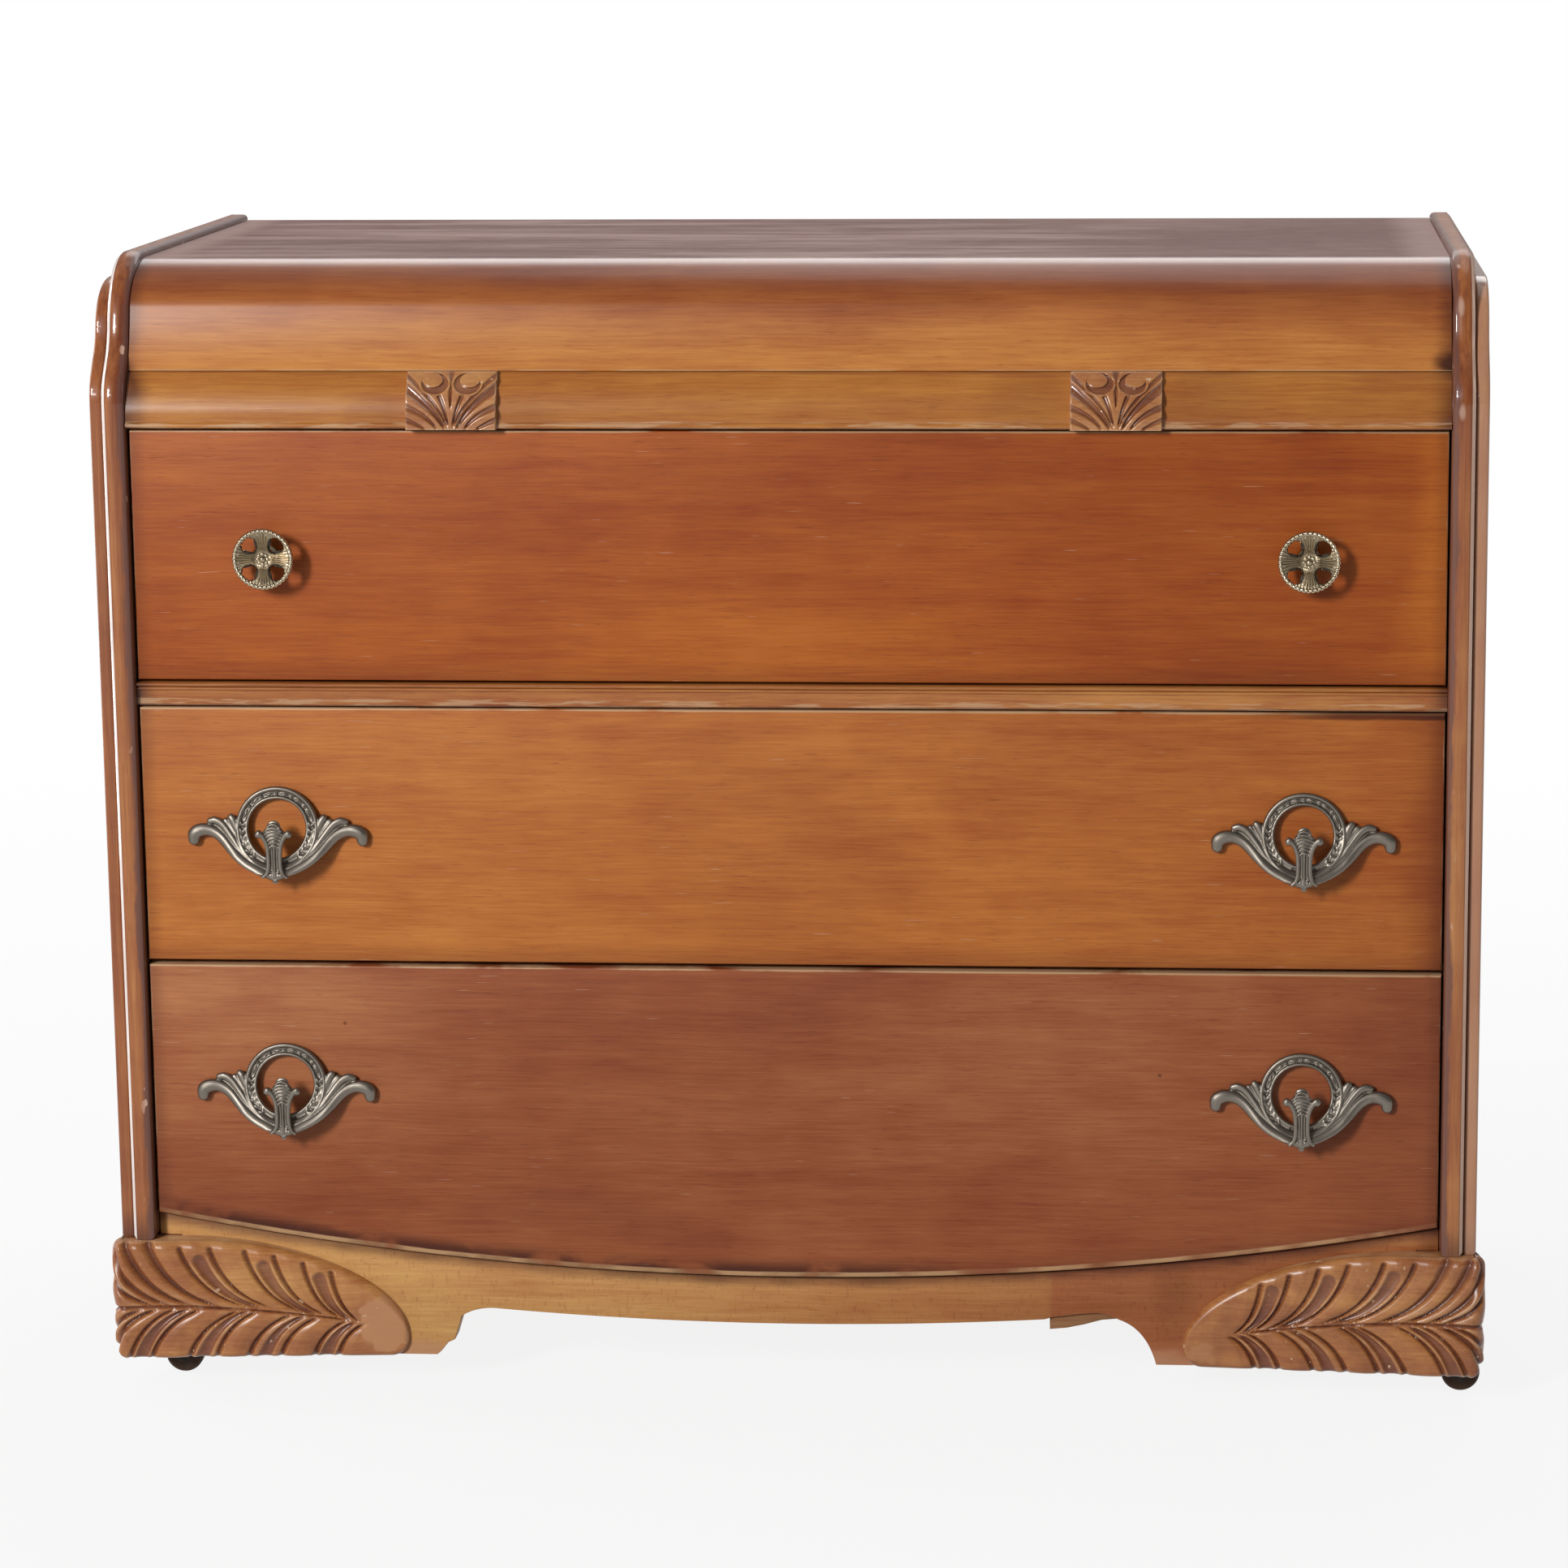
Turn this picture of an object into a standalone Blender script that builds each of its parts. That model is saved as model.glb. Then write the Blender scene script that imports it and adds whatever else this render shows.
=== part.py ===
"""Low chest of drawers with a rolled top, carved feet and swivel casters.

Metres, +Z up. The front faces -Y and +X is the viewer's right. The origin lies on the floor, under the
middle of the chest. Inside this file y = 0 is the plane of the drawer fronts; one empty carries it all.
"""
from math import cos, pi, sin

import bmesh
import bpy
from mathutils import Vector

# Fits
FIT = 0.0003  # between pieces that touch
RUN_FIT = 0.0004  # drawer box above its runners
REVEAL = 0.0016  # seen round a drawer front
SIDE_PLAY = 0.0030  # drawer box to the case, each side
HEADROOM = 0.0060  # drawer box to what is above it
REAR_PLAY = 0.0200  # drawer box to the back panel
ARCH_GAP = 0.0025  # lower drawer's arch to the apron
WHEEL_PLAY = 0.0008  # wheel to horn cheek, and to the horn's crown
PIN_PLAY = 0.0003  # round an axle or a stem

# Case
CASE_WIDTH = 1.1220  # over the end facings
CASE_DEPTH = 0.5000  # drawer fronts to the back
END_BOARD = 0.0185  # thickness
END_FACING = 0.0110  # thickness
END_PROUD = 0.0080  # end boards ahead of the drawer fronts
END_ROUND = 0.0050  # rounded edges of the end boards
FACING_ROUND = 0.0035  # rounded edges of the facings
FACING_STEP = 0.0100  # facings behind the end boards' front edge
FACING_DROP = 0.0200  # facings below the end boards' top edge
TOP_LIP = 0.0050  # end boards above the flat top
ROLL_DEPTH = 0.0620  # roll at the front of the top
NECK_SETBACK = 0.0220  # neck of the end boards behind the drawer fronts
NECK_STRAIGHT = 0.0100  # upright part of the neck
SWAY_HEIGHT = 0.0400  # from the neck down to the straight front
SWAY_DROP = 0.0250  # foot of the sway below the bead's top
BACK_PANEL = 0.0060  # thickness

# Top panel and frieze
TOP_PANEL = 0.0160  # thickness
TOP_INSET = 0.0050  # panel's roll behind the end boards' roll
WATERFALL_HEIGHT = 0.0855  # bead to flat top
FLARE_RADIUS = 0.0300  # hollow at the panel's foot
FLARE_ANGLE = 60.0  # degrees
PANEL_STRAIGHT = 0.0040  # upright part of the panel
BEAD_HEIGHT = 0.0450
BEAD_PROUD = 0.0040  # bead ahead of the drawer fronts
BEAD_ROUND_DEPTH = 0.0160
BEAD_FLAT = 0.0100  # upright part of the bead
BEAD_LIP = 0.0050  # small square lip under the bead
BEAD_LIP_DEPTH = 0.0025
BLOCK_WIDTH = 0.0730
BLOCK_PROUD = 0.0070  # carved blocks ahead of the bead
BLOCK_SPACING = 0.5320  # between the blocks' middles

# Rails
MIDDLE_RAIL = 0.0195  # height
RAIL_SETBACK = 0.0010  # rail's flat face behind the drawer fronts
RAIL_DEPTH = 0.0600
RAIL_BEAD = 0.0070  # height of the small bead on the rail
RAIL_BEAD_PROUD = 0.0035
DIVIDER = 0.0160  # height of the hidden divider
RUNNER_WIDTH = 0.0240
RUNNER_HEIGHT = 0.0160

# Drawers
FRONT = 0.0200  # thickness of the fronts
FRONT_ROUND = 0.0025
UPPER_FRONT = 0.2040  # height
MIDDLE_FRONT = 0.2110
LOWER_FRONT = 0.2120  # at its ends
FRONT_GAP = 0.0040  # between the middle and lower fronts
ARCH_SAG = 0.0490  # lower front's belly below its ends
BOX_RISE = 0.0100  # drawer sides above the lower edge of their front
DRAWER_SIDE = 0.0120
DRAWER_BACK = 0.0110
DRAWER_BOTTOM = 0.0050
BACK_DROP = 0.0080  # drawer back below the sides
GROOVE_RISE = 0.0090  # groove for the bottom above the side's lower edge
GROOVE_DEPTH = 0.0050

# Apron, feet and legs
FOOT_CLEARANCE = 0.0320  # floor to foot
FOOT_HEIGHT = 0.0980
FOOT_LENGTH = 0.2470
FOOT_LEDGE = 0.0680  # level top of the foot, under the end board
FOOT_THICKNESS = 0.0300
FOOT_OVERHANG = 0.0080  # foot past the end facing
FOOT_NOSE = 0.0160  # radius under the foot's inner end
FOOT_CORNER = 0.0120  # radius of the foot's outer lower corner
FOOT_ROUND = 0.0050
LEAF_FULLNESS = 1.85  # exponent of the foot's upper curve
APRON_SETBACK = 0.0080  # apron behind the drawer fronts
APRON = 0.0220  # thickness
APRON_SHOULDER = 0.0220  # foot top to the lower drawer's corners
BRACKET_DROP = 0.0030  # bracket's lower edge below the foot's
BRACKET_REACH = 0.0220  # bracket past the foot
COVE_RUN = 0.0480
COVE_RISE = 0.0410
COVE_SWEEP = 0.62  # share of the run where the cove starts to fall
APRON_BELLY = 0.0100
LEG_WIDTH = 0.0480
LEG_DEPTH = 0.0780

# Knobs and pulls
KNOB_INSET = 0.1100  # from the end of the drawer front
KNOB_DIAMETER = 0.0500
KNOB_RIM = 0.0050
KNOB_PROJECTION = 0.0220
KNOB_STEM = 0.0110  # diameter
KNOB_BASE = 0.0180  # diameter
KNOB_BASE_HEIGHT = 0.0040
KNOB_HOLE = 0.0120
KNOB_HOLE_CIRCLE = 0.0280
PULL_INSET = 0.1120  # from the end of the drawer front
PULL_RISE = 0.0090  # ring's middle above the front's middle
PULL_PROJECTION = 0.0260
PULL_THICKNESS = 0.0070
PULL_SPAN = 0.1520
PULL_TIP = 0.0160  # flat length at each tip
RING_DIAMETER = 0.0650
RING_HOLE = 0.0468
PULL_DROP = 0.0450  # ring's middle to the pull's lowest point
RING_LEAN = 0.0165  # ring's top behind its foot

# Casters
WHEEL_RADIUS = 0.0160
WHEEL_WIDTH = 0.0130
WHEEL_CHAMFER = 0.0020
CASTER_TRAIL = 0.0150
CROWN = 0.0030  # thickness of the horn's crown
CROWN_HALF = 0.0100  # crown's reach round the stem
CHEEK = 0.0020  # thickness
CHEEK_END = 0.0065  # radius round the axle
AXLE_RADIUS = 0.0025
STEM_RADIUS = 0.0040
STEM_LENGTH = 0.0350

# Heights, stacked from the floor
FOOT_TOP = FOOT_CLEARANCE + FOOT_HEIGHT
LOWER_BOTTOM = FOOT_TOP + APRON_SHOULDER
LOWER_TOP = LOWER_BOTTOM + LOWER_FRONT
MIDDLE_BOTTOM = LOWER_TOP + FRONT_GAP
MIDDLE_TOP = MIDDLE_BOTTOM + MIDDLE_FRONT
RAIL_BOTTOM = MIDDLE_TOP + REVEAL
RAIL_TOP = RAIL_BOTTOM + MIDDLE_RAIL
UPPER_BOTTOM = RAIL_TOP + REVEAL
UPPER_TOP = UPPER_BOTTOM + UPPER_FRONT
BEAD_BOTTOM = UPPER_TOP + REVEAL
BEAD_TOP = BEAD_BOTTOM + BEAD_HEIGHT
TOP = BEAD_TOP + WATERFALL_HEIGHT
END_TOP = TOP + TOP_LIP
DIVIDER_TOP = MIDDLE_BOTTOM + BOX_RISE - RUN_FIT
DIVIDER_BOTTOM = DIVIDER_TOP - DIVIDER
CROWN_UNDER = 2 * WHEEL_RADIUS + WHEEL_PLAY
CROWN_TOP = CROWN_UNDER + CROWN
LEG_BOTTOM = CROWN_TOP + FIT

# Widths and depths
HALF_CASE = CASE_WIDTH / 2
HALF_OPENING = HALF_CASE - END_FACING - FIT - END_BOARD
HALF_FRONT = HALF_OPENING - REVEAL
HALF_BOX = HALF_OPENING - SIDE_PLAY
FOOT_OUTER = HALF_CASE + FOOT_OVERHANG
FOOT_INNER = FOOT_OUTER - FOOT_LENGTH
PANEL_NECK = NECK_SETBACK + TOP_INSET
BEAD_BACK = PANEL_NECK + TOP_PANEL
APRON_BACK = APRON_SETBACK + APRON
INNER_BACK = CASE_DEPTH - BACK_PANEL
BOX_FRONT = FRONT + FIT
BOX_BACK = INNER_BACK - REAR_PLAY
STEM_X = HALF_CASE - LEG_WIDTH / 2
LEG_INNER = HALF_CASE - LEG_WIDTH
FRONT_STEM_Y = APRON_SETBACK + FIT + LEG_DEPTH / 2
REAR_STEM_Y = CASE_DEPTH - LEG_DEPTH / 2
CHEST_Y = (PULL_PROJECTION - CASE_DEPTH) / 2

SIDES = (("left", -1), ("right", 1))
ARC_STEPS = 8
SWAY_STEPS = 12
RIM_STEPS = 4
ARCH_STEPS = 24
ROUND_SIDES = 24
HOLE_SIDES = 12

CASE_WOOD = ((0.33, 0.13, 0.045), 0.35, 0.0)
FRONT_WOOD = ((0.37, 0.14, 0.040), 0.38, 0.0)
DARK_WOOD = ((0.20, 0.075, 0.03), 0.30, 0.0)
INNER_WOOD = ((0.52, 0.36, 0.20), 0.70, 0.0)
BRASS = ((0.33, 0.27, 0.16), 0.35, 1.0)
PEWTER = ((0.17, 0.155, 0.13), 0.40, 1.0)
IRON = ((0.035, 0.032, 0.030), 0.55, 1.0)
WHEEL_WOOD = ((0.10, 0.045, 0.02), 0.60, 0.0)


def clear_scene():
    for old in list(bpy.data.objects):
        bpy.data.objects.remove(old, do_unlink=True)


def new_collection(name):
    made = bpy.data.collections.new(name)
    bpy.context.scene.collection.children.link(made)
    return made


clear_scene()
CHEST = new_collection("chest_of_drawers")
CUTTERS = new_collection("cutters")


def empty(name, location, parent=None):
    made = bpy.data.objects.new(name, None)
    CHEST.objects.link(made)
    made.parent = parent
    made.location = location
    return made


def dress(obj, finish, parent):
    """Give a piece its material and its place in the chest."""
    colour, roughness, metallic = finish
    material = bpy.data.materials.new(obj.name)
    material.use_nodes = True
    shader = material.node_tree.nodes["Principled BSDF"]
    shader.inputs["Base Color"].default_value = (*colour, 1.0)
    shader.inputs["Roughness"].default_value = roughness
    shader.inputs["Metallic"].default_value = metallic
    if obj.data.users > 1:
        obj.data = obj.data.copy()
    obj.data.materials.clear()
    obj.data.materials.append(material)
    obj.parent = parent
    return obj


def mesh_object(name, mesh):
    obj = bpy.data.objects.new(name, mesh)
    CHEST.objects.link(obj)
    return obj


def box(name, low, high, finish, parent, rounded=0.0):
    """A block between two corners, its origin at its middle."""
    low = Vector(low)
    high = Vector(high)
    bm = bmesh.new()
    bmesh.ops.create_cube(bm, size=1.0)
    bmesh.ops.scale(bm, vec=high - low, verts=bm.verts)
    mesh = bpy.data.meshes.new(name)
    bm.to_mesh(mesh)
    bm.free()
    obj = mesh_object(name, mesh)
    obj.location = (low + high) / 2
    if rounded:
        round_edges(obj, rounded)
    return dress(obj, finish, parent)


def round_edges(obj, width, segments=2):
    bevel = obj.modifiers.new("rounded edges", "BEVEL")
    bevel.width = width
    bevel.segments = segments
    bevel.limit_method = "ANGLE"
    bevel.angle_limit = pi / 4


def flat_curve(name, outlines, thickness):
    """A flat outline, with any further outlines as holes, thickened both ways."""
    curve = bpy.data.curves.new(name, "CURVE")
    curve.dimensions = "2D"
    curve.fill_mode = "BOTH"
    curve.extrude = thickness / 2
    for outline in outlines:
        spline = curve.splines.new("POLY")
        spline.points.add(len(outline) - 1)
        for point, (across, up) in zip(spline.points, outline):
            point.co = (across, up, 0.0, 1.0)
        spline.use_cyclic_u = True
    obj = bpy.data.objects.new(name, curve)
    CHEST.objects.link(obj)
    return obj


def plate(name, outlines, thickness):
    """A flat outline as a closed mesh lying in its own XY plane."""
    curve_object = flat_curve(name, outlines, thickness)
    bpy.context.view_layer.update()
    graph = bpy.context.evaluated_depsgraph_get()
    mesh = bpy.data.meshes.new_from_object(curve_object.evaluated_get(graph))
    bpy.data.objects.remove(curve_object, do_unlink=True)
    bm = bmesh.new()
    bm.from_mesh(mesh)
    bmesh.ops.remove_doubles(bm, verts=bm.verts, dist=0.00001)
    bmesh.ops.dissolve_limit(bm, angle_limit=0.001, verts=bm.verts, edges=bm.edges)
    bmesh.ops.recalc_face_normals(bm, faces=bm.faces)
    bm.to_mesh(mesh)
    bm.free()
    return mesh


def side_piece(name, outline, x_low, x_high, finish, parent, rounded=0.0):
    """An outline of (y, z) points running across the chest."""
    obj = mesh_object(name, plate(name, [outline], x_high - x_low))
    obj.rotation_euler = (pi / 2, 0.0, pi / 2)
    obj.location = ((x_low + x_high) / 2, 0.0, 0.0)
    if rounded:
        round_edges(obj, rounded)
    return dress(obj, finish, parent)


def front_piece(name, outline, y_low, y_high, finish, parent, rounded=0.0):
    """An outline of (x, z) points running from front to back."""
    obj = mesh_object(name, plate(name, [outline], y_high - y_low))
    obj.rotation_euler = (pi / 2, 0.0, 0.0)
    obj.location = (0.0, (y_low + y_high) / 2, 0.0)
    if rounded:
        round_edges(obj, rounded)
    return dress(obj, finish, parent)


def arc(middle, radii, start, end, steps=ARC_STEPS):
    """Points of an ellipse's arc, angles in degrees."""
    angles = [(start + (end - start) * i / steps) * pi / 180 for i in range(steps + 1)]
    return [(middle[0] + radii[0] * cos(a), middle[1] + radii[1] * sin(a)) for a in angles]


def cylinder(name, radius, length, sides=ROUND_SIDES):
    """A closed cylinder along its own Z, its origin at its middle."""
    bm = bmesh.new()
    bmesh.ops.create_cone(bm, cap_ends=True, segments=sides, radius1=radius, radius2=radius, depth=length)
    mesh = bpy.data.meshes.new(name)
    bm.to_mesh(mesh)
    bm.free()
    return mesh_object(name, mesh)


def turned(name, profile):
    """A (radius, height) profile, listed from the top down its outer side, turned about Z."""
    bm = bmesh.new()
    corners = [bm.verts.new((radius, 0.0, height)) for radius, height in profile]
    for first, second in zip(corners, corners[1:]):
        bm.edges.new((first, second))
    if profile[0][0] > 0:
        bm.edges.new((corners[-1], corners[0]))
    mesh = bpy.data.meshes.new(name)
    bm.to_mesh(mesh)
    bm.free()
    obj = mesh_object(name, mesh)
    screw = obj.modifiers.new("turning", "SCREW")
    screw.steps = ROUND_SIDES
    screw.render_steps = ROUND_SIDES
    screw.use_merge_vertices = True
    screw.merge_threshold = 0.00001
    return obj


def cutter(obj):
    """Keep a shape as a guide for cutting only."""
    for home in list(obj.users_collection):
        home.objects.unlink(obj)
    CUTTERS.objects.link(obj)
    obj.hide_render = True
    obj.display_type = "WIRE"
    return obj


def combine(obj, other, operation):
    change = obj.modifiers.new(other.name, "BOOLEAN")
    change.operation = operation
    change.solver = "EXACT"
    change.object = cutter(other)


def settled_mesh(obj):
    """The evaluated mesh of an object, which is then removed."""
    bpy.context.view_layer.update()
    graph = bpy.context.evaluated_depsgraph_get()
    mesh = bpy.data.meshes.new_from_object(obj.evaluated_get(graph))
    bpy.data.objects.remove(obj, do_unlink=True)
    return mesh


def end_outline(inset, drop):
    """Side view of an end: flat top, front roll, neck, a sway out to the straight front."""
    front = inset - END_PROUD
    neck = NECK_SETBACK + inset
    top = END_TOP - drop
    sway_top = BEAD_TOP - SWAY_DROP + SWAY_HEIGHT
    roll_depth = ROLL_DEPTH - inset
    roll_height = top - sway_top - NECK_STRAIGHT
    bottom = FOOT_TOP + FIT
    points = [(CASE_DEPTH, bottom), (CASE_DEPTH, top)]
    points += arc((neck + roll_depth, top - roll_height), (roll_depth, roll_height), 90, 180)
    for i in range(SWAY_STEPS + 1):
        share = i / SWAY_STEPS
        points.append((neck + (front - neck) * (1 - cos(pi * share)) / 2, sway_top - SWAY_HEIGHT * share))
    points.append((front, bottom))
    return points


def ends(case):
    for side, sign in SIDES:
        board = sorted((sign * HALF_OPENING, sign * (HALF_OPENING + END_BOARD)))
        facing = sorted((sign * (HALF_CASE - END_FACING), sign * HALF_CASE))
        side_piece(f"{side}_end_board", end_outline(0.0, 0.0), *board, CASE_WOOD, case, END_ROUND)
        outline = end_outline(FACING_STEP, FACING_DROP)
        side_piece(f"{side}_end_facing", outline, *facing, CASE_WOOD, case, FACING_ROUND)


def waterfall_top(case):
    flare_turn = FLARE_ANGLE * pi / 180
    bottom = BEAD_TOP + FIT
    flare_middle = (PANEL_NECK - FLARE_RADIUS, bottom + FLARE_RADIUS * sin(flare_turn))
    roll_height = TOP - flare_middle[1] - PANEL_STRAIGHT
    roll_middle = (PANEL_NECK + ROLL_DEPTH, TOP - roll_height)
    inner_radii = (ROLL_DEPTH - TOP_PANEL, roll_height - TOP_PANEL)
    outline = [(CASE_DEPTH, TOP)]
    outline += arc(roll_middle, (ROLL_DEPTH, roll_height), 90, 180)
    outline += arc(flare_middle, (FLARE_RADIUS, FLARE_RADIUS), 0, -FLARE_ANGLE)
    outline.append((BEAD_BACK, bottom))
    outline += arc(roll_middle, inner_radii, 180, 90)
    outline.append((CASE_DEPTH, TOP - TOP_PANEL))
    reach = HALF_OPENING - FIT
    side_piece("waterfall_top", outline, -reach, reach, CASE_WOOD, case)


def bead_face():
    """Front of the bead from its top down, as (y, z) points."""
    round_height = BEAD_HEIGHT - BEAD_LIP - BEAD_FLAT
    middle = (BEAD_ROUND_DEPTH - BEAD_PROUD, BEAD_TOP - round_height)
    face = arc(middle, (BEAD_ROUND_DEPTH, round_height), 90, 180)
    face.append((-BEAD_PROUD, BEAD_BOTTOM + BEAD_LIP))
    face.append((-BEAD_PROUD - BEAD_LIP_DEPTH, BEAD_BOTTOM + BEAD_LIP))
    face.append((-BEAD_PROUD - BEAD_LIP_DEPTH, BEAD_BOTTOM))
    return face


def frieze(case):
    reach = HALF_OPENING - FIT
    outline = [(BEAD_BACK, BEAD_BOTTOM), (BEAD_BACK, BEAD_TOP)] + bead_face()
    side_piece("frieze_bead", outline, -reach, reach, CASE_WOOD, case)
    seat = [(y - FIT, z) for y, z in bead_face()]
    carved = [(y - BLOCK_PROUD, z) for y, z in bead_face()[:-2]]
    carved.append((-BEAD_PROUD - BLOCK_PROUD, BEAD_BOTTOM))
    for side, sign in SIDES:
        middle = sign * BLOCK_SPACING / 2
        low, high = middle - BLOCK_WIDTH / 2, middle + BLOCK_WIDTH / 2
        side_piece(f"{side}_carved_block", carved + seat[::-1], low, high, DARK_WOOD, case)


def rails(case):
    reach = HALF_OPENING - FIT
    lip = RAIL_SETBACK - RAIL_BEAD_PROUD
    bead_middle = (RAIL_SETBACK, RAIL_TOP - RAIL_BEAD / 2)
    outline = [(RAIL_DEPTH, RAIL_BOTTOM), (RAIL_DEPTH, RAIL_TOP)]
    outline += arc(bead_middle, (RAIL_SETBACK - lip, RAIL_BEAD / 2), 90, 270)
    outline.append((RAIL_SETBACK, RAIL_BOTTOM))
    side_piece("middle_rail", outline, -reach, reach, CASE_WOOD, case)
    low = (-reach, FRONT + 2 * FIT, DIVIDER_BOTTOM)
    box("lower_divider", low, (reach, RAIL_DEPTH, DIVIDER_TOP), INNER_WOOD, case)


def runners(case):
    """Pairs of bars on the end boards, each level with the drawer sides that slide on it."""
    tops = (
        ("upper", RAIL_TOP, RAIL_DEPTH + FIT),
        ("middle", DIVIDER_TOP, RAIL_DEPTH + FIT),
        ("lower", LOWER_BOTTOM + BOX_RISE - RUN_FIT, APRON_BACK + FIT),
    )
    for name, top, front in tops:
        for side, sign in SIDES:
            xs = sorted((sign * (HALF_OPENING - FIT), sign * (HALF_OPENING - FIT - RUNNER_WIDTH)))
            low = (xs[0], front, top - RUNNER_HEIGHT)
            high = (xs[1], INNER_BACK - FIT, top)
            box(f"{side}_{name}_runner", low, high, INNER_WOOD, case)


def arch(x):
    """Lower edge of the lower drawer front."""
    return LOWER_BOTTOM - ARCH_SAG * (1 - (x / HALF_FRONT) ** 2)


def cove_line(bottom):
    """Lower edge of the right bracket from the apron's crest out to the bracket's tip."""
    crest = FOOT_INNER - BRACKET_REACH - COVE_RUN
    points = []
    for i in range(ARC_STEPS + 1):
        t = i / ARC_STEPS
        run = 2 * t * (1 - t) * COVE_SWEEP + t * t
        points.append((crest + COVE_RUN * run, bottom + COVE_RISE * (1 - t * t)))
    return points


def apron(case):
    reach = HALF_OPENING - FIT
    bottom = FOOT_CLEARANCE - BRACKET_DROP
    cove = cove_line(bottom)
    crest = cove[0][0]
    stations = [reach * (1 - 2 * i / ARCH_STEPS) for i in range(ARCH_STEPS + 1)]
    leg = LEG_INNER - FIT
    seat = FOOT_TOP + FIT
    outline = [(x, arch(x) - ARCH_GAP) for x in stations]
    outline += [(-reach, seat), (-leg, seat), (-leg, bottom)]
    outline += [(-x, z) for x, z in cove[::-1]]
    inner = [crest * (2 * i / ARCH_STEPS - 1) for i in range(1, ARCH_STEPS)]
    outline += [(x, bottom + COVE_RISE - APRON_BELLY * (1 - (x / crest) ** 2)) for x in inner]
    outline += cove
    outline += [(leg, bottom), (leg, seat), (reach, seat)]
    front_piece("apron", outline, APRON_SETBACK + FIT, APRON_BACK, CASE_WOOD, case)


def foot_outline(sign):
    """Front view of a carved foot: level ledge, leaf-shaped fall to a round nose, flat underside."""
    leaf_start = FOOT_OUTER - FOOT_LEDGE
    run = leaf_start - FOOT_INNER
    nose_top = FOOT_CLEARANCE + FOOT_NOSE
    rise = FOOT_TOP - nose_top
    corner = FOOT_OUTER - FOOT_CORNER, FOOT_CLEARANCE + FOOT_CORNER
    points = arc(corner, (FOOT_CORNER, FOOT_CORNER), -90, 0)
    points.append((FOOT_OUTER, FOOT_TOP))
    quarter = [i * pi / 2 / ARCH_STEPS for i in range(ARCH_STEPS + 1)]
    power = 2 / LEAF_FULLNESS
    points += [
        (leaf_start - run * abs(sin(a)) ** power, nose_top + rise * abs(cos(a)) ** power) for a in quarter
    ]
    nose = (FOOT_INNER + FOOT_NOSE, nose_top)
    points += arc(nose, (FOOT_NOSE, FOOT_NOSE), 180, 270)[1:]
    return [(sign * x, z) for x, z in points]


def feet_and_legs(case):
    foot_back = APRON_SETBACK
    for side, sign in SIDES:
        outline = foot_outline(sign)
        name = f"{side}_front_foot"
        front_piece(name, outline, foot_back - FOOT_THICKNESS, foot_back, DARK_WOOD, case, FOOT_ROUND)
        for place, stem_y in (("front", FRONT_STEM_Y), ("rear", REAR_STEM_Y)):
            xs = sorted((sign * HALF_CASE, sign * LEG_INNER))
            low = (xs[0], stem_y - LEG_DEPTH / 2, LEG_BOTTOM)
            high = (xs[1], stem_y + LEG_DEPTH / 2, FOOT_TOP)
            leg = box(f"{side}_{place}_leg", low, high, CASE_WOOD, case)
            depth = STEM_LENGTH + 2 * FIT
            bore = cylinder(f"{side}_{place}_stem_bore", STEM_RADIUS + PIN_PLAY, 2 * depth)
            bore.parent = case
            bore.location = (sign * STEM_X, stem_y, LEG_BOTTOM)
            combine(leg, bore, "DIFFERENCE")


def back_panel(case):
    reach = HALF_OPENING - FIT
    low = (-reach, INNER_BACK, FOOT_TOP + FIT)
    box("back_panel", low, (reach, CASE_DEPTH, TOP - TOP_PANEL - FIT), INNER_WOOD, case)


def drawer_box(name, parent, low, high):
    """Sides, back and bottom behind a drawer front, between two heights."""
    inner = HALF_BOX - DRAWER_SIDE
    seat = low + GROOVE_RISE
    groove_top = seat + DRAWER_BOTTOM + 2 * FIT
    groove = inner + GROOVE_DEPTH
    section = [(HALF_BOX, low), (HALF_BOX, high), (inner, high), (inner, groove_top)]
    section += [(groove, groove_top), (groove, seat), (inner, seat), (inner, low)]
    for side, sign in SIDES:
        outline = [(sign * x, z) for x, z in section]
        front_piece(f"{name}_{side}_side", outline, BOX_FRONT, BOX_BACK, INNER_WOOD, parent)
    bottom_low = (FIT - groove, BOX_FRONT, seat + FIT)
    bottom_high = (groove - FIT, BOX_BACK, groove_top - FIT)
    box(f"{name}_bottom", bottom_low, bottom_high, INNER_WOOD, parent)
    back_low = (FIT - inner, BOX_BACK - DRAWER_BACK, groove_top)
    box(f"{name}_back", back_low, (inner - FIT, BOX_BACK, high - BACK_DROP), INNER_WOOD, parent)


def square_front(name, parent, low, high):
    corner = (HALF_FRONT, FRONT, high)
    box(f"{name}_front", (-HALF_FRONT, 0.0, low), corner, FRONT_WOOD, parent, FRONT_ROUND)


def arched_front(name, parent):
    stations = [HALF_FRONT * (2 * i / ARCH_STEPS - 1) for i in range(ARCH_STEPS + 1)]
    outline = [(x, arch(x)) for x in stations]
    outline += [(HALF_FRONT, LOWER_TOP), (-HALF_FRONT, LOWER_TOP)]
    front_piece(f"{name}_front", outline, 0.0, FRONT, FRONT_WOOD, parent, FRONT_ROUND)


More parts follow.
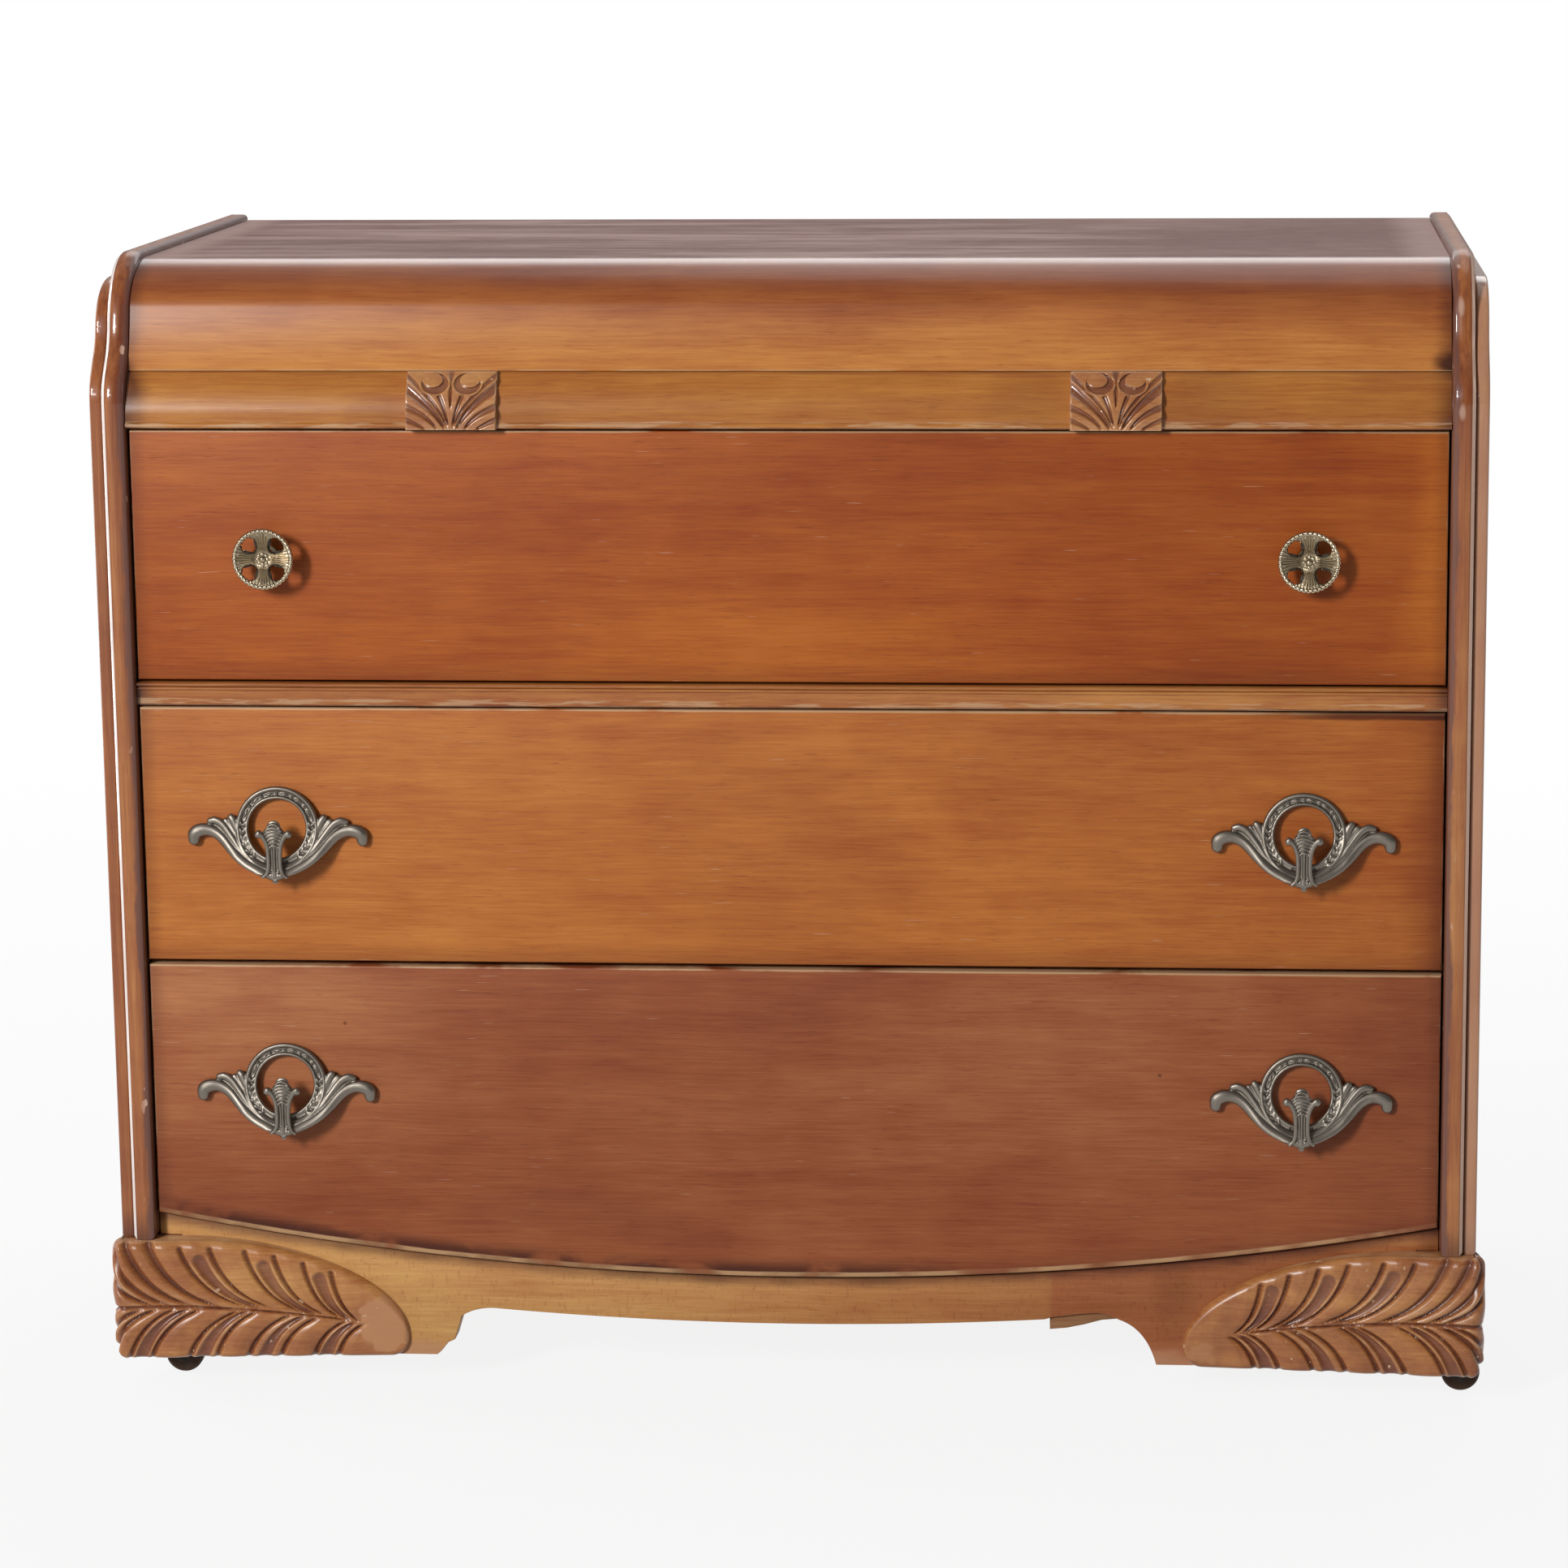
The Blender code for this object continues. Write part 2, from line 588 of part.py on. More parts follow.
def knob_mesh():
    """Round knob on a turned stem, pierced by four holes."""
    radius = KNOB_DIAMETER / 2
    back = KNOB_PROJECTION - KNOB_RIM
    profile = [(0.0, KNOB_PROJECTION - KNOB_RIM / 5)]
    rim = KNOB_RIM / 2
    profile += arc((radius - rim, back + rim), (rim, rim), 90, -90, RIM_STEPS)
    profile += [(KNOB_STEM / 2, back), (KNOB_STEM / 2, KNOB_BASE_HEIGHT)]
    profile += [(KNOB_BASE / 2, KNOB_BASE_HEIGHT / 2), (KNOB_BASE / 2, 0.0), (0.0, 0.0)]
    knob = turned("knob", profile)
    for turn in range(4):
        angle = pi / 4 + turn * pi / 2
        hole = cylinder(f"knob_hole_{turn}", KNOB_HOLE / 2, 3 * KNOB_RIM, HOLE_SIDES)
        reach = KNOB_HOLE_CIRCLE / 2
        hole.location = (reach * cos(angle), reach * sin(angle), KNOB_PROJECTION - KNOB_RIM / 2)
        combine(knob, hole, "DIFFERENCE")
    return settled_mesh(knob)


def mirrored(half):
    """A right half listed from the bottom up, followed by its left half from the top down."""
    return half + [(-x, z) for x, z in half[::-1] if x > 0]


def pull_outlines():
    """Front view of a pull: a ring carried by two wings, with a leaf standing up inside the ring."""
    ring = RING_DIAMETER / 2
    hole = RING_HOLE / 2
    tip = PULL_SPAN / 2
    join = 20
    wing = [(0.0, -PULL_DROP), (0.15 * tip, -0.96 * PULL_DROP), (0.37 * tip, -0.78 * PULL_DROP)]
    wing += [(0.54 * tip, -0.53 * PULL_DROP), (0.69 * tip, -0.28 * PULL_DROP)]
    wing += [(0.80 * tip, -0.25 * PULL_DROP), (0.92 * tip, -0.36 * PULL_DROP)]
    wing += [(tip, -0.27 * PULL_DROP), (0.99 * tip, -0.11 * PULL_DROP)]
    wing += [(0.87 * tip, 0.02 * PULL_DROP), (0.76 * tip, 0.0), (0.71 * tip, 0.12 * PULL_DROP)]
    wing += [(0.63 * tip, 0.11 * PULL_DROP), (0.55 * tip, 0.22 * PULL_DROP)]
    outer = mirrored(wing + arc((0.0, 0.0), (ring, ring), join, 90))
    leaf = [(0.30 * hole, -0.70 * hole), (0.25 * hole, -0.45 * hole), (0.56 * hole, -0.30 * hole)]
    leaf += [(0.50 * hole, -0.16 * hole), (0.22 * hole, 0.12 * hole), (0.0, 0.17 * hole)]
    around = arc((0.0, 0.0), (hole, hole), -75, 255, ARCH_STEPS)
    inner = around + [(-x, z) for x, z in leaf] + leaf[-2::-1]
    return [outer, inner]


def pull_mesh():
    """The pull's plate, bowed so that its tips meet the drawer front; the ring leans back, the leaf stands."""
    mesh = plate("pull", pull_outlines(), PULL_THICKNESS)
    bow = PULL_PROJECTION - PULL_THICKNESS - FIT
    ring = RING_DIAMETER / 2
    hole = RING_HOLE / 2
    foot = PULL_SPAN / 2 - PULL_TIP
    bm = bmesh.new()
    bm.from_mesh(mesh)
    cuts = [((0, -hole, 0), (0, 1, 0))]
    for i in range(ARC_STEPS + 1):
        for sign in (-1, 1):
            cuts.append(((sign * (ring + (foot - ring) * i / ARC_STEPS), 0, 0), (1, 0, 0)))
    for middle, normal in cuts:
        everything = bm.verts[:] + bm.edges[:] + bm.faces[:]
        bmesh.ops.bisect_plane(bm, geom=everything, plane_co=middle, plane_no=normal)
    bmesh.ops.triangulate(bm, faces=bm.faces)
    for vert in bm.verts:
        share = min(max((abs(vert.co.x) - ring) / (foot - ring), 0.0), 1.0)
        leaf = vert.co.xy.length < hole - FIT
        rise = 0.0 if leaf else max(vert.co.y + hole, 0.0) / (ring + hole)
        stand = bow - RING_LEAN * rise
        vert.co.z += PULL_THICKNESS / 2 + FIT + stand * (1 + cos(pi * share)) / 2
    bm.to_mesh(mesh)
    bm.free()
    return mesh


def fitting(name, mesh, x, z, finish, parent, stand=0.0):
    """A knob or pull on a drawer front."""
    obj = mesh_object(name, mesh)
    obj.rotation_euler = (pi / 2, 0.0, 0.0)
    obj.location = (x, -stand, z)
    return dress(obj, finish, parent)


def drawers(chest):
    knob = knob_mesh()
    pull = pull_mesh()
    rows = (
        ("upper", UPPER_BOTTOM, UPPER_TOP, RAIL_TOP + RUN_FIT, BEAD_BOTTOM - HEADROOM),
        ("middle", MIDDLE_BOTTOM, MIDDLE_TOP, MIDDLE_BOTTOM + BOX_RISE, RAIL_BOTTOM - HEADROOM),
        ("lower", LOWER_BOTTOM, LOWER_TOP, LOWER_BOTTOM + BOX_RISE, DIVIDER_BOTTOM - HEADROOM),
    )
    for row, low, high, box_low, box_high in rows:
        name = f"{row}_drawer"
        slide = empty(f"{name}_slide", (0.0, 0.0, 0.0), chest)
        if row == "lower":
            arched_front(name, slide)
        else:
            square_front(name, slide, low, high)
        drawer_box(name, slide, box_low, box_high)
        middle = (low + high) / 2
        for side, sign in SIDES:
            if row == "upper":
                x = sign * (HALF_FRONT - KNOB_INSET)
                fitting(f"{side}_knob", knob, x, middle, BRASS, slide, FIT)
            else:
                x = sign * (HALF_FRONT - PULL_INSET)
                fitting(f"{side}_{row}_pull", pull, x, middle + PULL_RISE, PEWTER, slide)


def horn_mesh():
    """Caster horn about its stem: a crown with two cheeks that reach back to the axle."""
    inner = WHEEL_WIDTH / 2 + WHEEL_PLAY
    outer = inner + CHEEK
    low = WHEEL_RADIUS - CHEEK_END
    channel = [(outer, low), (outer, CROWN_TOP), (-outer, CROWN_TOP), (-outer, low)]
    channel += [(-inner, low), (-inner, CROWN_UNDER), (inner, CROWN_UNDER), (inner, low)]
    length = 2 * (CASTER_TRAIL + CHEEK_END + CROWN_HALF)
    horn = mesh_object("horn", plate("horn", [channel], length))
    horn.rotation_euler = (pi / 2, 0.0, pi / 2)
    side_view = [(-CROWN_HALF, CROWN_TOP + CROWN), (CROWN_HALF, CROWN_TOP + CROWN)]
    side_view.append((CASTER_TRAIL + CHEEK_END, WHEEL_RADIUS + CHEEK_END))
    side_view += arc((CASTER_TRAIL, WHEEL_RADIUS), (CHEEK_END, CHEEK_END), 0, -180)
    side_view.append((-CROWN_HALF, CROWN_UNDER - CROWN))
    shape = mesh_object("horn_shape", plate("horn_shape", [side_view], 4 * outer))
    shape.rotation_euler = (pi / 2, 0.0, 0.0)
    combine(horn, shape, "INTERSECT")
    stem = cylinder("horn_stem", STEM_RADIUS, STEM_LENGTH + CROWN / 2)
    stem.location = (0.0, 0.0, CROWN_TOP + STEM_LENGTH / 2 - CROWN / 4)
    combine(horn, stem, "UNION")
    bore = cylinder("horn_bore", AXLE_RADIUS + PIN_PLAY, 4 * outer)
    bore.rotation_euler = (pi / 2, 0.0, 0.0)
    bore.location = (CASTER_TRAIL, 0.0, WHEEL_RADIUS)
    combine(horn, bore, "DIFFERENCE")
    bpy.context.view_layer.update()
    turn = horn.matrix_world.copy()
    mesh = settled_mesh(horn)
    mesh.transform(turn)
    return mesh


def wheel_mesh():
    half = WHEEL_WIDTH / 2
    bore = AXLE_RADIUS + PIN_PLAY
    edge = WHEEL_RADIUS - WHEEL_CHAMFER
    profile = [(bore, half), (edge, half), (WHEEL_RADIUS, half - WHEEL_CHAMFER)]
    profile += [(WHEEL_RADIUS, WHEEL_CHAMFER - half), (edge, -half), (bore, -half)]
    return settled_mesh(turned("wheel", profile))


def casters(chest):
    horn = horn_mesh()
    wheel = wheel_mesh()
    axle_length = WHEEL_WIDTH + 2 * (WHEEL_PLAY + 2 * CHEEK)
    for side, sign in SIDES:
        for place, stem_y in (("front", FRONT_STEM_Y), ("rear", REAR_STEM_Y)):
            name = f"{side}_{place}_caster"
            swivel = empty(f"{name}_swivel", (sign * STEM_X, stem_y, 0.0), chest)
            axis = empty(f"{name}_axis", (CASTER_TRAIL, 0.0, WHEEL_RADIUS), swivel)
            axis.rotation_euler = (pi / 2, 0.0, 0.0)
            dress(mesh_object(f"{name}_horn", horn), IRON, swivel)
            dress(mesh_object(f"{name}_wheel", wheel), WHEEL_WOOD, axis)
            dress(cylinder(f"{name}_axle", AXLE_RADIUS, axle_length), IRON, axis)


def main():
    chest = empty("chest", (0.0, CHEST_Y, 0.0))
    ends(chest)
    waterfall_top(chest)
    frieze(chest)
    rails(chest)
    runners(chest)
    apron(chest)
    feet_and_legs(chest)
    back_panel(chest)
    drawers(chest)
    casters(chest)


main()
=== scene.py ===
"""Looks of the chest of drawers: lacquered wood, carved feet, cast pulls, pierced knobs, iron casters.

Each piece is modelled in metres in the chest's own frame and rides on the body that carries it.
"""
from math import cos, pi, radians, sin

import bmesh
import bpy
import numpy as np
from mathutils import Matrix, Vector


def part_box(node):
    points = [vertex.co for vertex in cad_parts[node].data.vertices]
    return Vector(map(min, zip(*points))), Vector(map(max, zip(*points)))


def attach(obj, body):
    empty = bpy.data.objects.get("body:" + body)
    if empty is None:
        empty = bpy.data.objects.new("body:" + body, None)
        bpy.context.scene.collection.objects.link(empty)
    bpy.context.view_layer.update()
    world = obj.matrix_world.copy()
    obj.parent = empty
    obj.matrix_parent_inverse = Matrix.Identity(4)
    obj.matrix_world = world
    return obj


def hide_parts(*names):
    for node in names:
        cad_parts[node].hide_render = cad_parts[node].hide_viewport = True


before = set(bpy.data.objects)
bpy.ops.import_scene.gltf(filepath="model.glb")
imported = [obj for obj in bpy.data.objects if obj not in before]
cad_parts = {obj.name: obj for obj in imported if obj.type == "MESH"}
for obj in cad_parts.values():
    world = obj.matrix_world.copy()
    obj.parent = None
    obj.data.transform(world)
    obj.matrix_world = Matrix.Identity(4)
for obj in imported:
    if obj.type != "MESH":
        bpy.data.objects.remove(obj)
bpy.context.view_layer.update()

SIDES = (("left", -1), ("right", 1))
ROWS = ("upper", "middle", "lower")
PLACES = ("front", "rear")

# Planes and heights taken from the solids
FRONT_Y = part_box("middle_drawer_front")[0].y
BACK_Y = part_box("left_end_board")[1].y
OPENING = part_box("right_end_board")[0].x
BOARD_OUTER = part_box("right_end_board")[1].x
FRONT_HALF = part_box("middle_drawer_front")[1].x
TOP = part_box("waterfall_top")[1].z
BEAD_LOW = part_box("frieze_bead")[0].z
BEAD_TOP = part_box("frieze_bead")[1].z
FOOT_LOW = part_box("left_front_foot")[0].z
FOOT_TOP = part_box("left_front_foot")[1].z
FOOT_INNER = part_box("right_front_foot")[0].x

# Clearance between pieces that only touch
FIT_GAP = 0.0003

# Ends: depths behind the drawer fronts and heights above the bead; leans are degrees, pulls are shares
END_PROUD = 0.0080
END_ROUND = 0.0050
END_CHAMFER = 0.0030
END_CROWN = 0.0009
CROWN_CUTS = (-0.6, -0.3, 0.0, 0.3, 0.6)
CROWN_REACH = 0.7
NECK = 0.0220
END_WAIST = 0.0340
END_LEAN = 11
SWAY_DROP = 0.0270
SWAY_EASE = 0.0260
HIP_EASE = 0.0300
ROLL = 0.0620
ROUND_PULL = 0.55
END_PULL = 0.60
FACING_STEP = 0.0070
FACING_ROUND = 0.0024

# Top and frieze
PANEL = 0.0160
PANEL_NECK = 0.0270
PANEL_WAIST = 0.0490
PANEL_LEAN = 11
PANEL_PULL = 0.42
FLARE_LEAN = 26
FLARE_FRONT = 0.0110
FLARE_EASE = 0.0080
TOE_EASE = 0.0260
BEAD_PROUD = 0.0040
BEAD_LEANS = (2, 44)
BEAD_FLAT = 0.0020
LIP_HEIGHT = 0.0050
LIP_DEPTH = 0.0025
LIP_CORNER = 0.0010
RAIL_SETBACK = 0.0010
RAIL_BEAD = 0.0042
RAIL_GROOVE = 0.0015
BLOCK_PROUD = 0.0070
BLOCK_SEAT = 0.0002

# Arch of the lower drawer, and the apron
ARCH_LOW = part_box("lower_drawer_front")[0].z
ARCH_HIGH = 0.1520
ARCH_GAP = 0.0025
BRACKET_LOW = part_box("apron")[0].z
BRACKET_TIP = 0.3000
COVE_RUN = 0.0480
COVE_RISE = 0.0410
COVE_SWEEP = 0.78
APRON_BELLY = 0.0100
APRON_ROUND = 0.0012
CHIP_START = 0.2120
CHIP_RISE = 0.0030
CHIP_RAMP = 0.0010
CHIP_POINTS = 6
BREAK_END = 0.2795
STRIP_BEHIND = 0.0040
STRIP_SHORT = 0.0005
STRIP_ROUND = 0.0006

# Carved feet and legs
FOOT_LENGTH = 0.2470
FOOT_LEDGE = 0.0680
FOOT_NOSE = 0.0160
FOOT_CORNER = 0.0120
FOOT_FULLNESS = 1.85
FOOT_RECESS = 0.0040
FOOT_TAPER = 0.0210
TAPER_BEND = 0.9
FOOT_WALL = 0.0004
LEG_ROUND = 0.0040
LEG_END_ROUND = 0.0030

# Drawer fronts, pulls and screws
FRONT_ROUND = 0.0018
RING_OUTER = 0.0343
RING_HOLE = 0.0236
RING_DROP = 0.0020
PULL_TOP = 0.0325
PULL_FOOT = 0.0600
PULL_STAND = 0.0187
PULL_LEAN = 0.0165
PULL_BEND = 0.45
RING_START = 0.0120
LEAF_AHEAD = 0.0020
PULL_GAP = 0.0003
PULL_VOXEL = 0.00044
SCREW_RADIUS = 0.0042
SCREW_SPREAD = 0.0660
SCREW_DROP = 0.0070
WASHER = 0.0010
SLOT_FLOOR = 0.0011

# Casters
WHEEL_RADIUS = 0.0160
WHEEL_WIDTH = 0.0130
WHEEL_BORE = 0.0028
WHEEL_EDGE = 0.0028
HUB_RADII = (0.0062, 0.0075)
DISH_RADIUS = 0.0105
DISH_DEPTH = 0.0012
TRAIL = 0.0150
HORN_GAP = 0.0008
HORN_PLATE = 0.0020
HORN_HALF = 0.0098
HORN_NOSE = 0.0105
CHEEK_END = 0.0065
CHEEK_LAP = 0.0004
CHEEK_HEEL = 0.0020
CHEEK_ROUND = 0.0005
CROWN_PLATE = 0.0030
CROWN_ROUND = 0.0008
STEM_RADIUS = 0.0040
STEM_TIP = 0.0032
STEM_TAPER = 0.0010
STEM_SUNK = 0.0005
PIN_RADIUS = 0.0025
PIN_HEAD = (0.0034, 0.0036)
PIN_HEAD_SIZE = 0.0014
PIN_HEAD_EDGE = 0.0006

CASE = "case"


# Shading: one class for sums of sockets, then the finishes
class Shade:
    """A socket in a material's nodes. Sums and products with it add Math nodes."""

    def __init__(self, socket):
        self.socket = socket

    def node(self, kind, settings, sockets, output=0):
        """Add a node: its settings are set first, then each socket gets a value or a link."""
        tree = self.socket.id_data
        made = tree.nodes.new("ShaderNode" + kind)
        for name, value in settings.items():
            setattr(made, name, value)
        for key, value in sockets.items():
            if isinstance(value, Shade):
                tree.links.new(value.socket, made.inputs[key])
            else:
                made.inputs[key].default_value = value
        return Shade(made.outputs[output])

    def math(self, operation, *others):
        return self.node("Math", {"operation": operation}, dict(enumerate((self, *others))))

    def __add__(self, other):
        return self.math("ADD", other)

    __radd__ = __add__

    def __sub__(self, other):
        return self.math("SUBTRACT", other)

    def __rsub__(self, other):
        return self.node("Math", {"operation": "SUBTRACT"}, {0: other, 1: self})

    def __mul__(self, other):
        return self.math("MULTIPLY", other)

    __rmul__ = __mul__

    def __abs__(self):
        return self.math("ABSOLUTE")

    def lesser(self, other):
        return self.math("MINIMUM", other)

    def greater(self, other):
        return self.math("MAXIMUM", other)

    def step(self, low, high):
        """0 below low, 1 above high, smooth between; low may be the larger."""
        sockets = {"Value": self, "From Min": low, "From Max": high}
        return self.node("MapRange", {"interpolation_type": "SMOOTHSTEP"}, sockets)

    def axis(self, letter):
        return self.node("SeparateXYZ", {}, {0: self}, letter)

    def stretched(self, scale, shift=(0.0, 0.0, 0.0), turn=(0.0, 0.0, 0.0)):
        sockets = {"Vector": self, "Location": shift, "Rotation": turn, "Scale": scale}
        return self.node("Mapping", {}, sockets)

    def stored(self, name):
        """A value that the mesh holds at each of its points."""
        return self.node("Attribute", {"attribute_name": name}, {}, "Fac")

    def noise(self, detail=4.0, roughness=0.5, distortion=0.0):
        sockets = {"Vector": self, "Scale": 1.0, "Detail": detail}
        return self.node("TexNoise", {}, {**sockets, "Roughness": roughness, "Distortion": distortion})

    def wander(self, scale, amount):
        """This place pushed about by soft noise."""
        push = self.node("TexNoise", {}, {"Vector": self, "Scale": scale, "Detail": 2.0}, "Color")
        push = push.node("VectorMath", {"operation": "SUBTRACT"}, {0: push, 1: (0.5, 0.5, 0.5)})
        return self.node("VectorMath", {"operation": "MULTIPLY_ADD"}, {0: push, 1: (amount,) * 3, 2: self})

    def dots(self, spacing, size, share):
        """1 in scattered dots, in that share of the cells of a spacing."""
        sockets = {"Vector": self, "Scale": 1.0 / spacing}
        gap = self.node("TexVoronoi", {}, sockets, "Distance")
        pick = self.node("TexVoronoi", {}, sockets, "Color").axis("X")
        return gap.step(size / spacing, 0.5 * size / spacing) * pick.step(share + 0.01, share)

    def blots(self, *spots):
        """Sum of soft oval spots on the front, each (x, z, half width, half height, share)."""
        total = 0.0
        x, z = self.axis("X"), self.axis("Z")
        for middle_x, middle_z, half_x, half_z, share in spots:
            wide = (x - middle_x) * (1.0 / half_x)
            tall = (z - middle_z) * (1.0 / half_z)
            total = (wide * wide + tall * tall).step(1.0, 0.0) * share + total
        return total

    def between(self, first, second):
        """A colour between two colours, this socket being the share of the second."""
        return self.node("Mix", {"data_type": "RGBA"}, {0: self, 6: first, 7: second}, 2)

    def tint(self, other, share):
        """This colour multiplied by another one, as far as share says."""
        settings = {"data_type": "RGBA", "blend_type": "MULTIPLY"}
        return self.node("Mix", settings, {0: share, 6: self, 7: other}, 2)


def colour(red, green, blue):
    return (red, green, blue, 1.0)


def new_finish(name):
    """A material, its shader, and the object's own coordinates to draw on."""
    made = bpy.data.materials.new(name)
    made.use_nodes = True
    nodes = made.node_tree.nodes
    place = Shade(nodes.new("ShaderNodeTexCoord").outputs["Object"])
    return made, nodes["Principled BSDF"], place


def feed(shader, **values):
    """Set or link sockets of the shader, named with underscores for spaces."""
    for name, value in values.items():
        socket = shader.inputs[name.replace("_", " ")]
        if isinstance(value, Shade):
            shader.id_data.links.new(value.socket, socket)
        else:
            socket.default_value = value


def raise_bumps(place, shader, height, distance, strength=1.0):
    sockets = {"Height": height, "Distance": distance, "Strength": strength}
    feed(shader, Normal=place.node("Bump", {}, sockets))


# Scales of fibres, streaks and pores for each way that the grain may run
GRAIN_ALONG = {"X": ((20.0, 240.0, 560.0), (4.0, 40.0, 80.0), (60.0, 900.0, 900.0)),
               "Y": ((240.0, 20.0, 560.0), (40.0, 4.0, 80.0), (900.0, 60.0, 900.0)),
               "Z": ((560.0, 240.0, 20.0), (80.0, 40.0, 4.0), (900.0, 900.0, 60.0))}
PALE_SHARE = (1.30, 1.66, 1.80)
DARK_SHARE = (0.68, 0.46, 0.42)
LIGHTER = colour(1.35, 1.70, 1.80)
DARKER = colour(0.50, 0.36, 0.40)
# Grime colour; it also paints the shadow under the rail on the middle front.
DIRT_AND_SHADE = colour(0.30, 0.22, 0.20)
# Rubbed bare wood; on the drawer fronts' upper and side edges it also stands in for a painted highlight.
BARE = colour(0.50, 0.31, 0.17)


def grain(place, along, seed):
    """Fibres, broad streaks and pores of straight-grained wood, each from 0 to 1."""
    fine, broad, dashes = GRAIN_ALONG[along]
    shift = (seed * 1.37, seed * 0.71, seed * 2.13)
    wavy = place.wander(7.0, 0.006)
    fibre = wavy.stretched(fine, shift).noise(5.0, 0.60, 0.2)
    streak = wavy.stretched(broad, shift).noise(3.0, 0.5, 0.4)
    pores = wavy.stretched(dashes, shift).noise(2.0, 0.5).step(0.62, 0.74)
    return fibre, streak, pores


def lacquer(name, stain, along, seed, contrast=1.0, shade=None, wear=None, roughness=0.44, coat=0.0,
            specular=0.25, gloss=None, polish=0.13):
    """Stained and lacquered wood.

    shade gives lighter and darker areas, wear draws rubbed and dirty places, gloss gives a coat that
    differs from place to place, and polish is the coat's roughness.
    """
    made, shader, place = new_finish(name)
    fibre, streak, pores = grain(place, along, seed)
    shift = (seed * 3.1, seed * 1.9, seed * 0.8)
    patches = place.stretched((5.0, 5.0, 9.0), shift).noise(3.0, 0.55, 0.5)
    clouds = place.stretched((17.0, 17.0, 30.0), shift).noise(3.0, 0.55, 0.4)
    tone = 0.5 + contrast * ((fibre - 0.5) * 0.85 + (streak - 0.5) * 0.55)
    tone = tone + contrast * ((patches - 0.5) * 0.65 + (clouds - 0.5) * 0.45)
    pale, dark = (colour(*(s * k for s, k in zip(stain, share))) for share in (PALE_SHARE, DARK_SHARE))
    tint = tone.step(-0.15, 1.15).between(dark, pale)
    tint = tint.tint(colour(0.55, 0.42, 0.36), pores * 0.45)
    if shade:
        area = shade(place)
        tint = tint.tint(LIGHTER, area.greater(0.0)).tint(DARKER, (0.0 - area).greater(0.0))
    if wear:
        tint = wear(place, clouds, tint)
    rubbed = place.stretched((30.0, 30.0, 60.0), shift).noise(4.0, 0.6)
    feed(shader, Base_Color=tint, Roughness=roughness + (rubbed - 0.5) * 0.20 + pores * 0.08)
    feed(shader, Coat_Weight=gloss(place) if gloss else coat)
    feed(shader, Coat_Roughness=polish, Specular_IOR_Level=specular)
    raise_bumps(place, shader, fibre * 0.5 + rubbed * 0.4 - pores * 0.6, 0.00022, 0.5)
    return made


def grime_and_shade(clouds, tint, amount):
    """Grime where amount is high, with an uneven edge; on the middle front it paints the rail's shadow
    instead.
    """
    return tint.tint(DIRT_AND_SHADE, (amount * (0.45 + clouds * 1.1)).lesser(1.0))


# Stains of the fronts, and lighter and darker areas: (x, z, half width, half height, share)
FRONT_STAINS = {
    "upper": (0.322, 0.066, 0.0075),
    "middle": (0.390, 0.108, 0.0195),
    "lower": (0.262, 0.067, 0.0220),
}
FRONT_SEEDS = {"upper": 1.0, "middle": 4.0, "lower": 7.0}
FRONT_AREAS = {
    "upper": (
        (-0.53, 0.70, 0.15, 0.20, 0.10), (-0.05, 0.61, 0.30, 0.09, 0.45),
        (0.17, 0.79, 0.34, 0.10, -0.22), (0.42, 0.70, 0.16, 0.16, -0.12),
        (0.545, 0.72, 0.06, 0.20, 0.60), (0.34, 0.61, 0.12, 0.05, -0.22),
    ),
    "middle": (
        (-0.40, 0.43, 0.26, 0.18, 0.18), (0.565, 0.46, 0.075, 0.36, -0.85),
        (0.26, 0.57, 0.26, 0.10, -0.10), (-0.03, 0.47, 0.17, 0.13, -0.14),
        (-0.52, 0.56, 0.07, 0.06, -0.20),
    ),
    "lower": (
        (-0.49, 0.31, 0.24, 0.14, 0.85), (0.55, 0.26, 0.12, 0.30, -0.25),
        (0.06, 0.335, 0.13, 0.06, -0.25), (0.21, 0.28, 0.24, 0.12, 0.40),
        (-0.15, 0.14, 0.16, 0.03, -0.30), (-0.48, 0.17, 0.12, 0.05, -0.22),
    ),
}
ROLL_AREAS = (
    (-0.40, 0.900, 0.18, 0.05, 0.16), (-0.20, 0.925, 0.12, 0.02, -0.20),
    (0.42, 0.900, 0.26, 0.05, -0.16), (0.05, 0.890, 0.20, 0.02, -0.16),
    (0.40, 0.862, 0.12, 0.014, 0.25), (0.20, 0.900, 0.07, 0.02, 0.18),
)
ROLL_SMUDGES = ((0.533, 0.858, 0.022, 0.014, 0.9), (-0.534, 0.855, 0.012, 0.010, 0.6))
RAIL_AREAS = ((0.40, 0.59, 0.32, 0.06, 0.30), (-0.45, 0.59, 0.22, 0.06, -0.12))
BEAD_AREAS = (
    (-0.48, 0.83, 0.18, 0.06, 0.10), (0.20, 0.82, 0.05, 0.05, -0.28),
    (0.335, 0.82, 0.05, 0.05, -0.34), (-0.33, 0.815, 0.04, 0.03, -0.30),
    (-0.21, 0.815, 0.04, 0.03, -0.30), (0.50, 0.83, 0.12, 0.03, -0.12),
)


def spotted(scale, amount, areas):
    """A shade of soft areas whose edges wander."""
    def shade(place):
        return place.wander(scale, amount).blots(*areas)
    return shade


def above_arch(place):
    """Height above the lower edge of the lower drawer front."""
    x = place.axis("X") * (1.0 / FRONT_HALF)
    return place.axis("Z") - ARCH_LOW - x * x * (ARCH_HIGH - ARCH_LOW)


